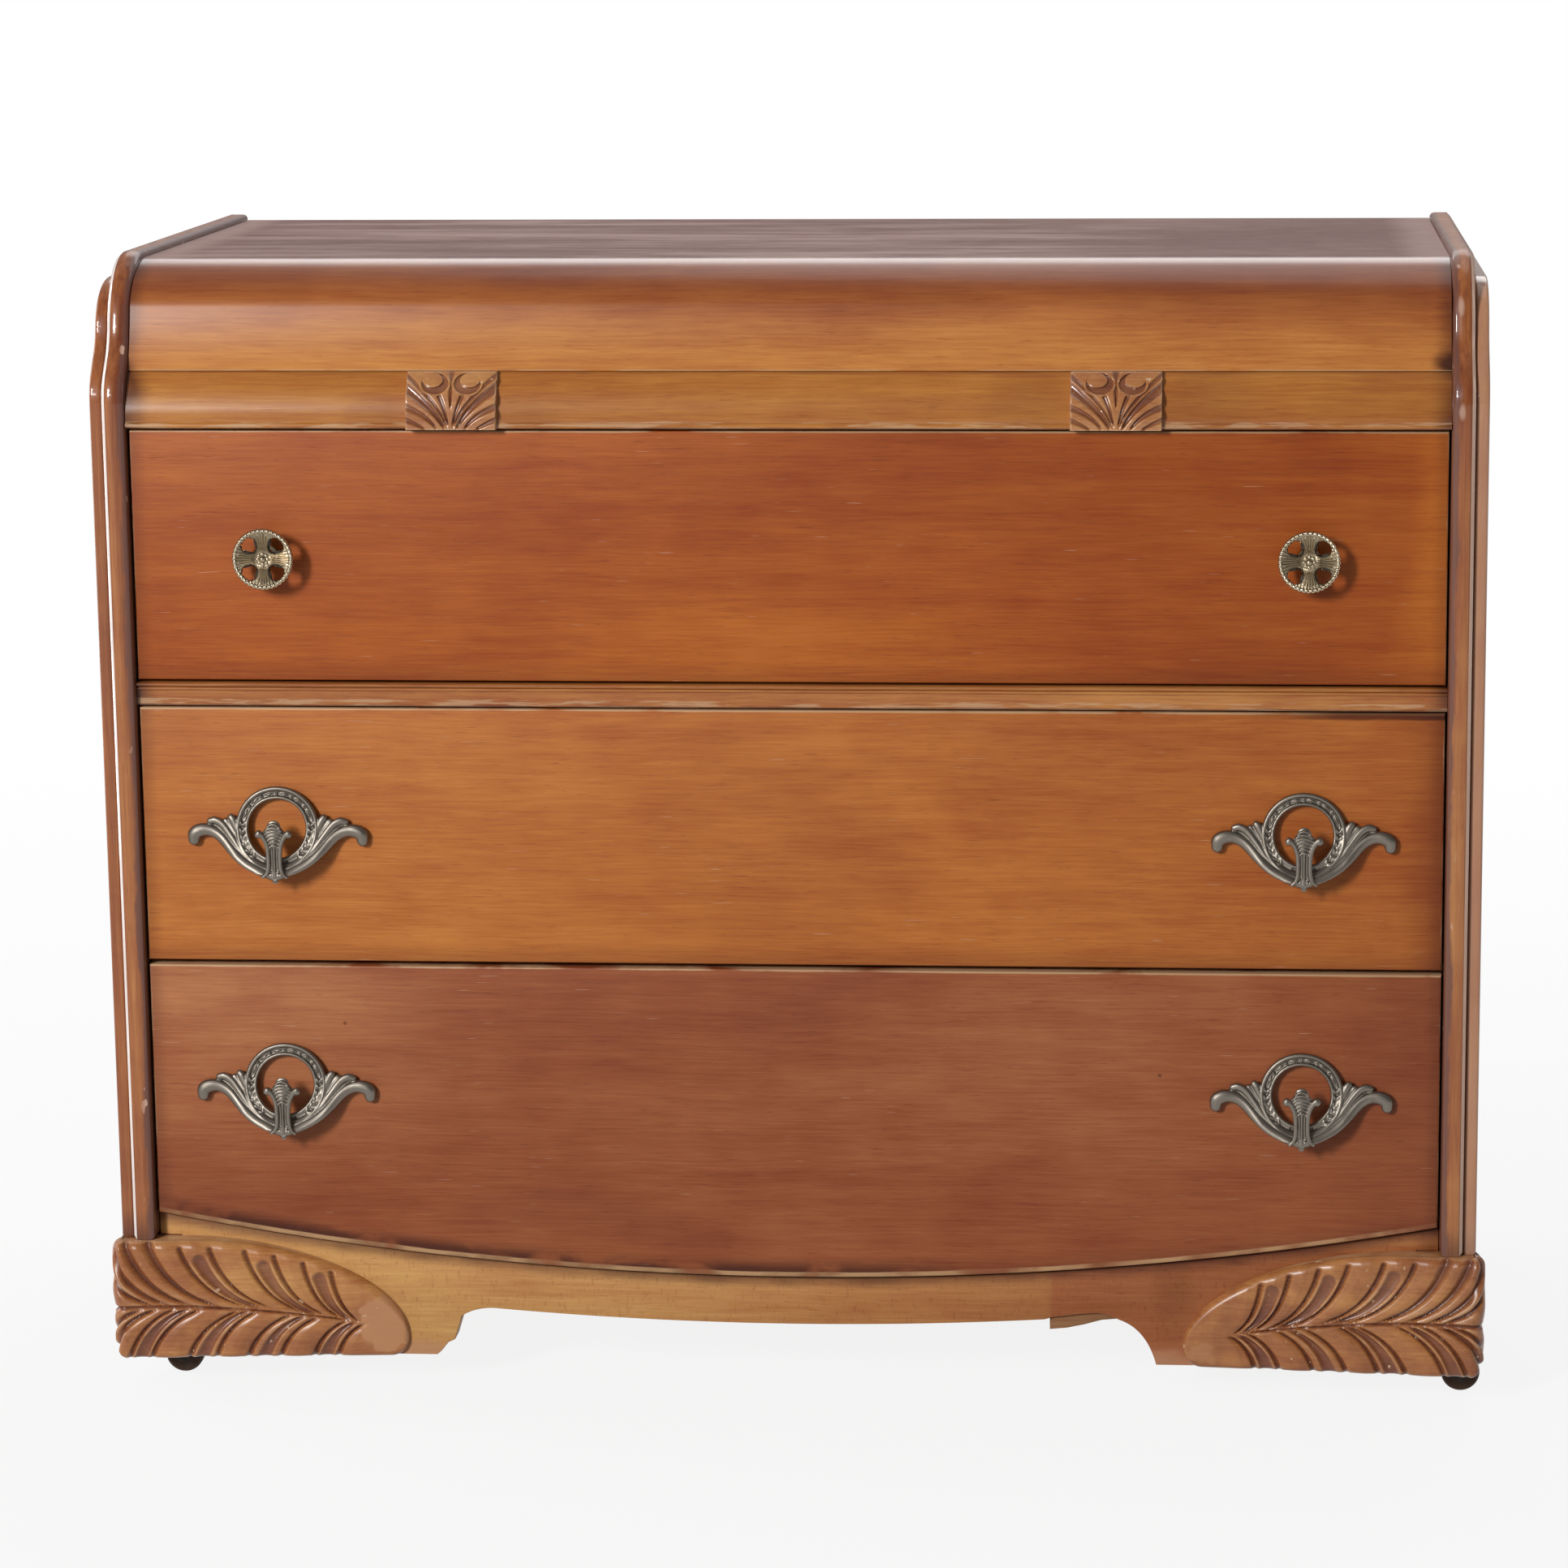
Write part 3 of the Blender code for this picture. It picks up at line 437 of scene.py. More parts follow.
def front_wear_and_painted_light(row):
    """Grime at the foot and ends of a drawer front, rubbed edges also lightened as painted highlight,
    painted rail shadow, dots and scuffs.
    """
    low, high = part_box(f"{row}_drawer_front")

    def wear(place, clouds, tint):
        height = above_arch(place) if row == "lower" else place.axis("Z") - low.z
        ragged = clouds * 0.003
        sides = abs(place.axis("X")) + ragged
        tint = grime_and_shade(clouds, tint, height.step(0.020, 0.0) * 0.32)
        tint = grime_and_shade(clouds, tint, sides.step(high.x - 0.014, high.x) * 0.35)
        # The pale line along the upper and side edges is rubbed bare wood and also a painted highlight
        # where the rounded edge catches the light.
        rim = (place.axis("Z") + ragged * 0.5).step(high.z - 0.0012, high.z - 0.0002)
        rim = rim.greater(sides.step(high.x + 0.0002, high.x + 0.0012) * 0.7)
        tint = (rim * clouds.step(0.30, 0.50) * 0.85).between(tint, BARE)
        if row == "lower":
            low_edge = (height + ragged).step(0.020, 0.006) * place.axis("X").step(0.20, 0.02)
            tint = grime_and_shade(clouds, tint, low_edge * clouds.step(0.34, 0.54))
            bare = (height + ragged * 0.8).step(0.0062, 0.0052)
            bare = bare * (0.12 + clouds.step(0.32, 0.62) * 0.80)
            tint = bare.between(tint, colour(0.46, 0.27, 0.135))
        if row == "middle":
            # Painted shadow of the rail along the top of the middle front, towards its right end.
            rail_shadow = (place.axis("Z") + ragged).step(high.z - 0.005, high.z - 0.002)
            tint = grime_and_shade(clouds, tint, rail_shadow * place.axis("X").step(0.34, 0.50) * 1.3)
        tint = tint.tint(DIRT_AND_SHADE, place.dots(0.075, 0.0022, 0.22) * 0.7)
        slanted = place.stretched((30.0, 1.0, 700.0), turn=(0.0, 0.7, 0.0))
        scuffs = slanted.noise(1.0, 0.5).step(0.76, 0.80)
        return (scuffs * 0.35).between(tint, colour(0.55, 0.36, 0.26))
    return wear


def fronts_finishes():
    """The three drawer fronts are stained unlike each other."""
    made = {}
    for row in ROWS:
        made[row] = lacquer(f"{row}_front_stain_and_painted_light", FRONT_STAINS[row], "X", FRONT_SEEDS[row],
                            shade=spotted(6.0, 0.10, FRONT_AREAS[row]), wear=front_wear_and_painted_light(row))
    return made


def flat_top_tint(place):
    """Milky scuffs, worn lacquer with a painted reflection in them, on a dark flat top, fewer at the right,
    and a pale rim along both ends.
    """
    rubbed = place.wander(3.0, 0.04).stretched((3.0, 15.0, 1.0), (0.3, 0.6, 0.0)).noise(6.0, 0.66, 0.2)
    streaks = place.wander(5.0, 0.02).stretched((6.0, 170.0, 1.0)).noise(4.0, 0.65, 0.4)
    # The milky haze is worn lacquer and also a painted reflection of the bright room on the flat top.
    milky_wear_and_sheen = (rubbed.step(0.40, 0.66) * 0.75 + streaks.step(0.52, 0.70) * 0.35).lesser(1.0)
    milky_wear_and_sheen = milky_wear_and_sheen * (1.0 - place.wander(4.0, 0.15).axis("X").step(0.12, 0.42) * 0.75)
    rim = (abs(place.axis("X")) + (rubbed - 0.5) * 0.05).step(OPENING - 0.05, OPENING - 0.012)
    return milky_wear_and_sheen.greater(rim * 0.7).between(colour(0.150, 0.062, 0.048), colour(0.375, 0.235, 0.205))


def top_finish():
    """Brown on the roll, golden at the flare, and a dark flat top with milky wear and a painted reflection.
    """
    def shade(place):
        fall = place.axis("Z").step(TOP - 0.006, BEAD_TOP + 0.010) * 1.62 - 0.80
        return fall + place.wander(5.0, 0.12).blots(*ROLL_AREAS)

    def wear(place, clouds, tint):
        side = (abs(place.axis("X")) + clouds * 0.02).step(OPENING - 0.006, OPENING + 0.012)
        tint = grime_and_shade(clouds, tint, side * 0.8)
        tint = grime_and_shade(clouds, tint, place.wander(30.0, 0.012).blots(*ROLL_SMUDGES))
        low = (place.axis("Z") + clouds * 0.003).step(BEAD_TOP + 0.0035, BEAD_TOP + 0.0015)
        tint = (low * clouds.step(0.34, 0.60) * 0.7).between(tint, colour(0.50, 0.36, 0.23))
        flat = place.axis("Z").step(TOP - 0.0020, TOP - 0.0003)
        return flat.between(tint, flat_top_tint(place))

    def gloss(place):
        return place.axis("Z").step(TOP - 0.0002, TOP - 0.0016) * 0.93 + 0.02
    return lacquer("rolled_top_stain_and_painted_sheen", (0.352, 0.096, 0.0180), "X", 11.0, shade=shade, wear=wear,
                   roughness=0.50, specular=0.05, gloss=gloss, polish=0.26)


def end_finish(name, seed, board):
    """Glossy upright wood; the boards have dark inner edges and pale chamfers, rubbed and painted as a
    highlight.
    """
    def shade(place):
        runs = place.stretched((150.0, 60.0, 4.0), (seed, 0.0, 0.0)).noise(3.0, 0.6, 0.3)
        area = (runs - 0.5) * 2.4 - place.axis("X").step(0.1, -0.1) * (0.35 if board else 0.75)
        if board:
            outer = abs(place.axis("X")).step(OPENING + 0.005, OPENING + 0.010)
            return area + outer * 0.25 - place.axis("Z").step(0.72, 0.86) * 0.45 + 0.05
        return area + 0.45

    def wear(place, clouds, tint):
        ragged = place.stretched((60.0, 60.0, 16.0), (0.0, seed, 0.0)).noise(4.0, 0.65)
        side = abs(place.axis("X"))
        right = place.axis("X").step(-0.1, 0.1)
        front = place.axis("Y").step(FRONT_Y + 0.10, FRONT_Y + 0.05)
        tint = grime_and_shade(clouds, tint, place.axis("Z").step(FOOT_TOP + 0.03, FOOT_TOP) * 0.8)
        if board:
            inner = (side + (ragged - 0.5) * 0.012).step(OPENING + 0.0065, OPENING + 0.0035)
            tint = (inner * 0.85).between(tint, colour(0.125, 0.048, 0.034))
            chips = place.stretched((90.0, 90.0, 34.0), (seed, 0.0, 0.0)).noise(2.0, 0.5).step(0.68, 0.71)
            chips = chips * side.step(OPENING + 0.010, OPENING + 0.002)
            tint = chips.between(tint, colour(0.55, 0.34, 0.24))
            groove = side.step(BOARD_OUTER - END_CHAMFER - 0.0012, BOARD_OUTER - END_CHAMFER)
            tint = tint.tint(colour(0.45, 0.34, 0.30), groove * 0.6)
            worn = place.wander(60.0, 0.003).blots((OPENING + 0.0070, 0.902, 0.0032, 0.010, 0.6),
                                                   (OPENING + 0.0075, 0.822, 0.0034, 0.008, 0.6))
            tint = worn.between(tint, colour(0.52, 0.34, 0.25))
            # The pale line on the outer chamfer's front is rubbed wood and also a painted highlight, whiter
            # on the left side of the chest.
            pale = side.step(BOARD_OUTER - END_CHAMFER, BOARD_OUTER - END_CHAMFER + 0.0004)
            line = right.between(colour(0.74, 0.66, 0.62), colour(0.64, 0.42, 0.31))
            pale = pale * side.step(BOARD_OUTER - 0.00005, BOARD_OUTER - 0.0004) * front
            return (pale * (0.55 + ragged * 0.6).lesser(1.0)).between(tint, line)
        dusty = right * front * (0.3 + ragged * 0.5)
        return dusty.between(tint, colour(0.46, 0.255, 0.165))

    def gloss(place):
        return place.axis("Z").step(TOP + 0.005, TOP - 0.006) * 0.55 + 0.05
    return lacquer(name, (0.315, 0.094, 0.0250), "Z", seed, shade=shade, wear=wear, roughness=0.36,
                   specular=0.20, gloss=gloss, polish=0.05)


def moulding_wear(low, high):
    """Dirty corners and rubbed arrises of a moulding that runs across the chest."""
    def wear(place, clouds, tint):
        height = place.axis("Z") + (clouds - 0.5) * 0.004
        side = (abs(place.axis("X")) + clouds * 0.02).step(OPENING - 0.012, OPENING + 0.012)
        tint = grime_and_shade(clouds, tint, side)
        tint = grime_and_shade(clouds, tint, height.step(high - 0.003, high - 0.0005) * 0.35)
        edge = height.step(low + 0.0062, low + 0.0052)
        rubbed = place.stretched((24.0, 24.0, 300.0)).noise(3.0, 0.6).step(0.46, 0.60)
        tint = (edge * rubbed * 0.6).between(tint, BARE)
        return grime_and_shade(clouds, tint, height.step(low + 0.0018, low + 0.0004) * 0.8)
    return wear


def apron_shade(place):
    span = place.wander(7.0, 0.04)
    patch = span.axis("X").step(CHIP_START - 0.002, CHIP_START + 0.002)
    left, right = span.axis("X").step(0.20, -0.30), span.axis("X").step(0.0, 0.3)
    return left * 0.85 - right * 0.25 - patch * 0.08 + span.blots((0.48, 0.135, 0.09, 0.016, 0.8))


def apron_wear(place, clouds, tint):
    """Crazed golden lacquer, a browner mend at the right, darker just under the drawer's arch, bare bracket
    feet.
    """
    height = above_arch(place) + (clouds - 0.5) * 0.006
    # Darker in a band just under the drawer's arch.
    tint = grime_and_shade(clouds, tint, height.step(-0.014, -0.004) * 0.75)
    lines = place.stretched((420.0, 60.0, 150.0)).noise(4.0, 0.7).step(0.54, 0.70)
    tint = tint.tint(colour(0.55, 0.36, 0.34), lines * 0.45)
    mend = place.wander(9.0, 0.03).axis("X").step(CHIP_START - 0.001, CHIP_START + 0.004)
    tint = tint.tint(colour(0.88, 0.72, 0.74), mend)
    dark = place.wander(8.0, 0.06).blots((0.318, 0.085, 0.022, 0.06, 0.22), (0.53, 0.14, 0.03, 0.03, 0.6))
    tint = grime_and_shade(clouds, tint, dark)
    low = place.axis("Z") + (clouds - 0.5) * 0.03
    bare = low.step(BRACKET_LOW + 0.018, BRACKET_LOW + 0.004) * abs(place.axis("X")).step(0.27, 0.28)
    return (bare * 0.55).between(tint, colour(0.50, 0.26, 0.15))


def carved_wear(place, clouds, tint):
    """Dark flutes, grime in the grooves, rubbed crests, and bare wood on the noses of the feet."""
    relief, groove = place.stored("relief"), place.stored("groove")
    uneven = place.stretched((45.0, 45.0, 45.0)).noise(4.0, 0.6)
    nose = place.wander(45.0, 0.030).blots((-FOOT_INNER - 0.014, FOOT_LOW + 0.026, 0.032, 0.029, 1.0),
                                           (FOOT_INNER + 0.015, FOOT_LOW + 0.012, 0.024, 0.013, 0.30))
    bared = nose.step(0.10, 0.30) * (place.axis("X").step(0.1, -0.1) * 0.35 + 0.5)
    tint = bared.between(tint, colour(0.440, 0.205, 0.090))
    grime = groove.step(0.10, 0.70) * (0.35 + uneven * 0.9).lesser(1.0)
    tint = tint.tint(colour(0.40, 0.28, 0.36), grime)
    crest = relief.step(0.30, 1.0) * (uneven * 2.6 - 0.7).greater(0.0).lesser(1.0)
    tint = (crest * 0.55).between(tint, colour(0.58, 0.36, 0.20))
    hollow = relief.step(-0.30, -1.3)
    tint = (hollow * 0.65).between(tint, colour(0.070, 0.027, 0.022))
    chips = place.stretched((120.0, 120.0, 120.0)).noise(3.0, 0.5).step(0.70, 0.73)
    return (chips * 0.8).between(tint, colour(0.58, 0.40, 0.26))


def carved_shade(place):
    """Rusty and golden patches of carved wood."""
    return (place.stretched((34.0, 34.0, 34.0)).noise(5.0, 0.62, 0.4) - 0.5) * 2.2


def foot_shade(place):
    """Golden panels above the midrib, most of all on the left foot; darker outer corners."""
    side = abs(place.axis("X"))
    height = place.axis("Z").step(FOOT_LOW + 0.035, FOOT_LOW + 0.060)
    inner = side.step(FOOT_INNER + 0.19, FOOT_INNER + 0.13)
    left = place.axis("X").step(0.05, -0.05)
    golden = height * inner * (left * 0.95 + 0.15)
    corner = side.step(FOOT_INNER + 0.20, FOOT_INNER + 0.24)
    return golden + carved_shade(place) - corner * 0.10 - 0.22 + left * 0.10


def case_finishes():
    rail_low, rail_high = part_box("middle_rail")
    return {
        "board": end_finish("end_board_stain_and_painted_highlight", 21.0, True),
        "facing": end_finish("end_facing_stain", 23.0, False),
        "bead": lacquer("bead_stain", (0.385, 0.126, 0.0190), "X", 25.0,
                        shade=spotted(8.0, 0.05, BEAD_AREAS), wear=moulding_wear(BEAD_LOW, BEAD_TOP),
                        roughness=0.46, coat=0.92, specular=0.10, polish=0.22),
        "rail": lacquer("rail_stain", (0.362, 0.116, 0.0270), "X", 29.0, contrast=1.3,
                        shade=spotted(5.0, 0.10, RAIL_AREAS), wear=moulding_wear(rail_low.z, rail_high.z),
                        roughness=0.40, coat=0.25),
        "apron": lacquer("apron_stain", (0.400, 0.152, 0.0460), "X", 33.0, contrast=0.8,
                         shade=apron_shade, wear=apron_wear, roughness=0.46, coat=0.05),
        "strip": lacquer("strip_stain", (0.235, 0.098, 0.0420), "X", 35.0, roughness=0.60, specular=0.2),
        "foot": lacquer("foot_stain", (0.350, 0.120, 0.0320), "X", 37.0, contrast=1.2,
                        shade=foot_shade, wear=carved_wear, roughness=0.40, coat=0.60, polish=0.30),
        "block": lacquer("block_stain", (0.372, 0.136, 0.0400), "X", 39.0,
                         shade=carved_shade, wear=carved_wear, roughness=0.36, coat=0.95, polish=0.12),
        "leg": lacquer("leg_stain", (0.200, 0.070, 0.0260), "Z", 41.0, roughness=0.50),
    }


def bare_wood(name, pale, dark, along, seed):
    """Planed wood without finish, dusty and a little stained."""
    made, shader, place = new_finish(name)
    fibre, streak, pores = grain(place, along, seed)
    rings = place.stretched((3.0, 3.0, 26.0), (seed, 0.0, 0.0)).noise(2.0, 0.4, 1.5)
    tone = 0.5 + (fibre - 0.5) * 0.9 + (streak - 0.5) * 0.9 + ((rings * 9.0).math("SINE")) * 0.10
    tint = tone.step(0.05, 0.95).between(dark, pale)
    dirt = place.stretched((7.0, 7.0, 7.0), (0.0, seed, 0.0)).noise(5.0, 0.6)
    tint = tint.tint(colour(0.55, 0.45, 0.36), dirt.step(0.52, 0.75) * 0.5)
    tint = tint.tint(colour(0.60, 0.48, 0.38), pores * 0.5)
    feed(shader, Base_Color=tint, Roughness=0.72 + (dirt - 0.5) * 0.2, Specular_IOR_Level=0.3)
    raise_bumps(place, shader, fibre - pores * 0.5, 0.0004, 0.6)
    return made


def cast_metal(name, bright, dull, hollow, roughness, rubbed_at, sunk_at):
    """Plated casting: bright where rubbed, dark in its hollows, with faint spots."""
    made, shader, place = new_finish(name)
    relief = place.stored("relief")
    blots = place.stretched((90.0, 90.0, 90.0)).noise(5.0, 0.6)
    fine = place.stretched((900.0, 900.0, 900.0)).noise(3.0, 0.6)
    rubbed = (relief.step(*rubbed_at) * (0.45 + blots)).lesser(1.0)
    tint = rubbed.between(dull, bright)
    sunk = relief.step(*sunk_at)
    tint = sunk.between(tint, hollow)
    tint = tint.tint(colour(0.66, 0.60, 0.48), blots.step(0.55, 0.78) * 0.6)
    feed(shader, Base_Color=tint, Metallic=1.0 - sunk * 0.45)
    feed(shader, Roughness=roughness + sunk * 0.3 - rubbed * 0.08 + (blots - 0.5) * 0.2)
    raise_bumps(place, shader, fine * 0.6 + blots * 0.4, 0.00010, 0.6)
    return made


def iron_finish():
    made, shader, place = new_finish("blackened_iron")
    rust = place.stretched((160.0, 160.0, 160.0)).noise(6.0, 0.65)
    spread = rust.step(0.50, 0.72)
    tint = spread.between(colour(0.022, 0.020, 0.019), colour(0.105, 0.040, 0.018))
    feed(shader, Base_Color=tint, Metallic=1.0 - spread * 0.8, Roughness=0.46 + spread * 0.35)
    raise_bumps(place, shader, rust, 0.0003, 0.6)
    return made


# Mesh making
def arc(middle, radii, start, end, steps=24):
    """Points of an ellipse's arc, angles in degrees."""
    angles = [radians(start + (end - start) * i / steps) for i in range(steps + 1)]
    return [(middle[0] + radii[0] * cos(a), middle[1] + radii[1] * sin(a)) for a in angles]


def bezier(*points, steps=72):
    """Points of a Bezier curve of any degree."""
    t = np.linspace(0, 1, steps + 1)[:, None]
    line = [np.array(point, float) for point in points]
    while len(line) > 1:
        line = [(1 - t) * a + t * b for a, b in zip(line, line[1:])]
    return line[0]


def across(y, z, x):
    """Puts a point of a side view at a distance across the chest."""
    return (x, FRONT_Y + y, z)


def from_front(x, z, y):
    """Puts a point of a front view at a depth behind the drawer fronts."""
    return (x, FRONT_Y + y, z)


def prism(outline, place, low, high):
    """A flat outline extruded between two depths."""
    bm = bmesh.new()
    face = bm.faces.new([bm.verts.new(place(a, b, low)) for a, b in outline])
    swept = bmesh.ops.extrude_face_region(bm, geom=[face])
    moved = [part for part in swept["geom"] if isinstance(part, bmesh.types.BMVert)]
    step = Vector(place(0.0, 0.0, high)) - Vector(place(0.0, 0.0, low))
    bmesh.ops.translate(bm, vec=step, verts=moved)
    bmesh.ops.recalc_face_normals(bm, faces=bm.faces)
    return bm


def block(low, high):
    """A block between two corners."""
    bm = bmesh.new()
    size = Vector(high) - Vector(low)
    place = Matrix.Translation((Vector(low) + Vector(high)) / 2) @ Matrix.Diagonal((*size, 1.0))
    bmesh.ops.create_cube(bm, size=1.0, matrix=place)
    return bm


def rim_of(bm, axis, *values):
    """Edges that lie in one of the planes given by values along an axis."""
    found = []
    for edge in bm.edges:
        ends = [vert.co[axis] for vert in edge.verts]
        if any(all(abs(end - value) < 1e-5 for end in ends) for value in values):
            found.append(edge)
    return found


def round_off(bm, edges, width, segments=3):
    bmesh.ops.bevel(bm, geom=edges, offset=width, offset_type="OFFSET", segments=segments, profile=0.5,
                    affect="EDGES", clamp_overlap=True, material=-1)


def slice_at(bm, x):
    """Cut the faces that cross a plane of x."""
    everything = bm.verts[:] + bm.edges[:] + bm.faces[:]
    bmesh.ops.bisect_plane(bm, geom=everything, plane_co=(x, 0, 0), plane_no=(1, 0, 0))


def close_back(bm, back_of):
    """Walls from the rim of a carved face to its back, and the back itself."""
    rim = [edge for edge in bm.edges if edge.is_boundary]
    walls = bmesh.ops.extrude_edge_only(bm, edges=rim)
    for part in walls["geom"]:
        if isinstance(part, bmesh.types.BMVert):
            part.co.y = back_of(part.co.y)
    bmesh.ops.holes_fill(bm, edges=[edge for edge in bm.edges if edge.is_boundary], sides=0)


def turned(profile, steps):
    """A (radius, height) profile spun about the Z axis; a profile clear of the axis is closed first."""
    bm = bmesh.new()
    verts = [bm.verts.new((radius, 0.0, height)) for radius, height in profile]
    edges = [bm.edges.new((a, b)) for a, b in zip(verts, verts[1:])]
    if profile[0][0] > 0 and profile[-1][0] > 0:
        edges.append(bm.edges.new((verts[-1], verts[0])))
    bmesh.ops.spin(bm, geom=verts + edges, cent=(0, 0, 0), axis=(0, 0, 1), dvec=(0, 0, 0), angle=2 * pi,
                   steps=steps, use_merge=True, use_duplicate=False)
    bmesh.ops.remove_doubles(bm, verts=bm.verts, dist=1e-6)
    bmesh.ops.recalc_face_normals(bm, faces=bm.faces)
    return bm


def put(bm, other, matrix=Matrix.Identity(4)):
    """Add another bmesh, moved by a matrix, to this one."""
    mesh = bpy.data.meshes.new("part of a piece")
    other.to_mesh(mesh)
    other.free()
    mesh.transform(matrix)
    if matrix.determinant() < 0:
        mesh.flip_normals()
    bm.from_mesh(mesh)
    bpy.data.meshes.remove(mesh)


# Relief: rounds of smoothing, and the depth in metres that counts as one
FOOT_RELIEF = (14, 0.0012)
BLOCK_RELIEF = (12, 0.0010)
PULL_RELIEF = (12, 0.0008)
KNOB_RELIEF = (6, 0.0005)
# Angles in degrees above which an edge stays sharp
PLAIN_CREASE = 38.0
BOARD_CREASE = 33.0
CARVED_CREASE = 50.0
CAST_CREASE = 180.0


def mark_relief(mesh, rounds, depth):
    """Store on each point how far it stands above its smoothed surroundings, in shares of a depth."""
    count = len(mesh.vertices)
    place = np.empty(count * 3)
    mesh.vertices.foreach_get("co", place)
    place = place.reshape(-1, 3)
    normals = np.empty(count * 3)
    mesh.vertices.foreach_get("normal", normals)
    ends = np.empty(len(mesh.edges) * 2, int)
    mesh.edges.foreach_get("vertices", ends)
    first, second = np.concatenate((ends.reshape(-1, 2), ends.reshape(-1, 2)[:, ::-1])).T
    share = np.maximum(np.bincount(first, minlength=count), 1)[:, None]
    smooth = place.copy()
    for _ in range(rounds):
        sums = [np.bincount(first, smooth[second, k], count) for k in range(3)]
        smooth = np.stack(sums, 1) / share
    height = ((place - smooth) * normals.reshape(-1, 3)).sum(1) / depth
    layer = mesh.attributes.new("relief", "FLOAT", "POINT")
    layer.data.foreach_set("value", height.astype(np.float32))


def add_object(name, data):
    obj = bpy.data.objects.new(name, data)
    bpy.context.scene.collection.objects.link(obj)
    return obj


def show(name, mesh, material, body, stands_for=(), crease=PLAIN_CREASE):
    """Make a mesh a piece of the chest that rides on a body."""
    mesh.shade_smooth()
    mesh.set_sharp_from_angle(angle=radians(crease))
    mesh.materials.clear()
    mesh.materials.append(material)
    obj = add_object(name, mesh)
    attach(obj, body)
    if stands_for:
        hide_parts(*stands_for)


def settled(bm, name):
    """A bmesh as a mesh with its faces pointing out."""
    bmesh.ops.recalc_face_normals(bm, faces=bm.faces)
    mesh = bpy.data.meshes.new(name)
    bm.to_mesh(mesh)
    bm.free()
    return mesh


def finished(node, bm, material, body, relief=None, crease=PLAIN_CREASE):
    """A finished piece that stands for one solid."""
    name = f"{node}_finished"
    mesh = settled(bm, name)
    if relief:
        mark_relief(mesh, *relief)
    show(name, mesh, material, body, (node,), crease)


# Case
def leaning(angle):
    """Upward direction that leans back by an angle, as (y, z)."""
    return np.array((sin(radians(angle)), cos(radians(angle))))


def waterfall(crown, waist, lean, pull):
    """Roll from the edge of a flat top down to a waist that leans back."""
    run, drop = crown - waist
    upper_handle = crown - (ROUND_PULL * run, 0.0)
    lower_handle = waist + leaning(lean) * pull * drop
    return bezier(crown, upper_handle, lower_handle, waist, steps=56)


def end_outline(inset, top):
    """Side view of an end: flat top, front roll, a leaning waist, a sway out to the straight front."""
    back, bottom = BACK_Y - FRONT_Y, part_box("left_end_board")[0].z
    crown, waist = np.array((NECK + ROLL, top)), np.array((NECK + inset, BEAD_TOP + END_WAIST))
    hip = np.array((inset - END_PROUD, BEAD_TOP - SWAY_DROP))
    roll = waterfall(crown, waist, END_LEAN, END_PULL)
    sway = bezier(waist, waist - leaning(END_LEAN) * SWAY_EASE, hip + (0.0, HIP_EASE), hip, steps=40)
    return [(back, bottom), (back, top), *roll, *sway[1:], (hip[0], bottom)]


def crown_face(bm, edges):
    """Swell the narrow face of an end between two planes of x, but not its back and its foot."""
    middle, half = sum(edges) / 2, abs(edges[1] - edges[0]) / 2
    for share in CROWN_CUTS:
        slice_at(bm, middle + share * half)
    bm.normal_update()
    foot = min(vert.co.z for vert in bm.verts)
    for vert in bm.verts:
        share = (vert.co.x - middle) / half
        if abs(share) < CROWN_REACH and vert.co.y < BACK_Y - 1e-4 and vert.co.z > foot + 1e-4:
            vert.co += vert.normal * END_CROWN * (1 - share ** 2)


def both_ends(finishes):
    for side, sign in SIDES:
        node = f"{side}_end_board"
        low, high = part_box(node)
        inner, outer = (low.x, high.x) if sign > 0 else (high.x, low.x)
        bm = prism(end_outline(0.0, high.z), across, low.x, high.x)
        round_off(bm, rim_of(bm, 0, inner), END_ROUND, 6)
        round_off(bm, rim_of(bm, 0, outer), END_CHAMFER, 1)
        crown_face(bm, (inner + sign * END_ROUND, outer - sign * END_CHAMFER))
        finished(node, bm, finishes["board"], CASE, crease=BOARD_CREASE)
        node = f"{side}_end_facing"
        low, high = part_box(node)
        bm = prism(end_outline(FACING_STEP, high.z), across, low.x, high.x)
        round_off(bm, rim_of(bm, 0, low.x, high.x), FACING_ROUND, 5)
        finished(node, bm, finishes["facing"], CASE)


def rolled_top(finish):
    node = "waterfall_top"
    low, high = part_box(node)
    back = BACK_Y - FRONT_Y
    crown, waist = np.array((PANEL_NECK + ROLL, TOP)), np.array((PANEL_NECK, low.z + PANEL_WAIST))
    toe = np.array((FLARE_FRONT, low.z))
    waist_handle = waist - leaning(PANEL_LEAN) * FLARE_EASE
    toe_handle = toe + leaning(FLARE_LEAN) * TOE_EASE
    roll = waterfall(crown, waist, PANEL_LEAN, PANEL_PULL)
    flare = bezier(waist, waist_handle, toe_handle, toe, steps=40)
    outline = [(back, TOP), *roll, *flare[1:], (PANEL_NECK + PANEL, low.z)]
    outline += arc((crown[0], waist[1]), (ROLL - PANEL, TOP - PANEL - waist[1]), 180, 90)
    outline.append((back, TOP - PANEL))
    finished(node, prism(outline, across, low.x, high.x), finish, CASE)


def bead_face():
    """Front of the bead from its top down: a shallow round, and the lip."""
    start, end = (radians(lean) for lean in BEAD_LEANS)
    foot = BEAD_LOW + LIP_HEIGHT + BEAD_FLAT
    radius = (BEAD_TOP - foot) / (sin(end) - sin(start))
    middle = (radius * cos(start) - BEAD_PROUD, foot - radius * sin(start))
    face = arc(middle, (radius, radius), 180 - BEAD_LEANS[1], 180 - BEAD_LEANS[0], 48)
    face.append((-BEAD_PROUD, BEAD_LOW + LIP_HEIGHT + LIP_CORNER))
    lip = (-BEAD_PROUD, BEAD_LOW + LIP_HEIGHT / 2)
    face += arc(lip, (LIP_DEPTH, LIP_HEIGHT / 2), 90, 270, 8)
    return face


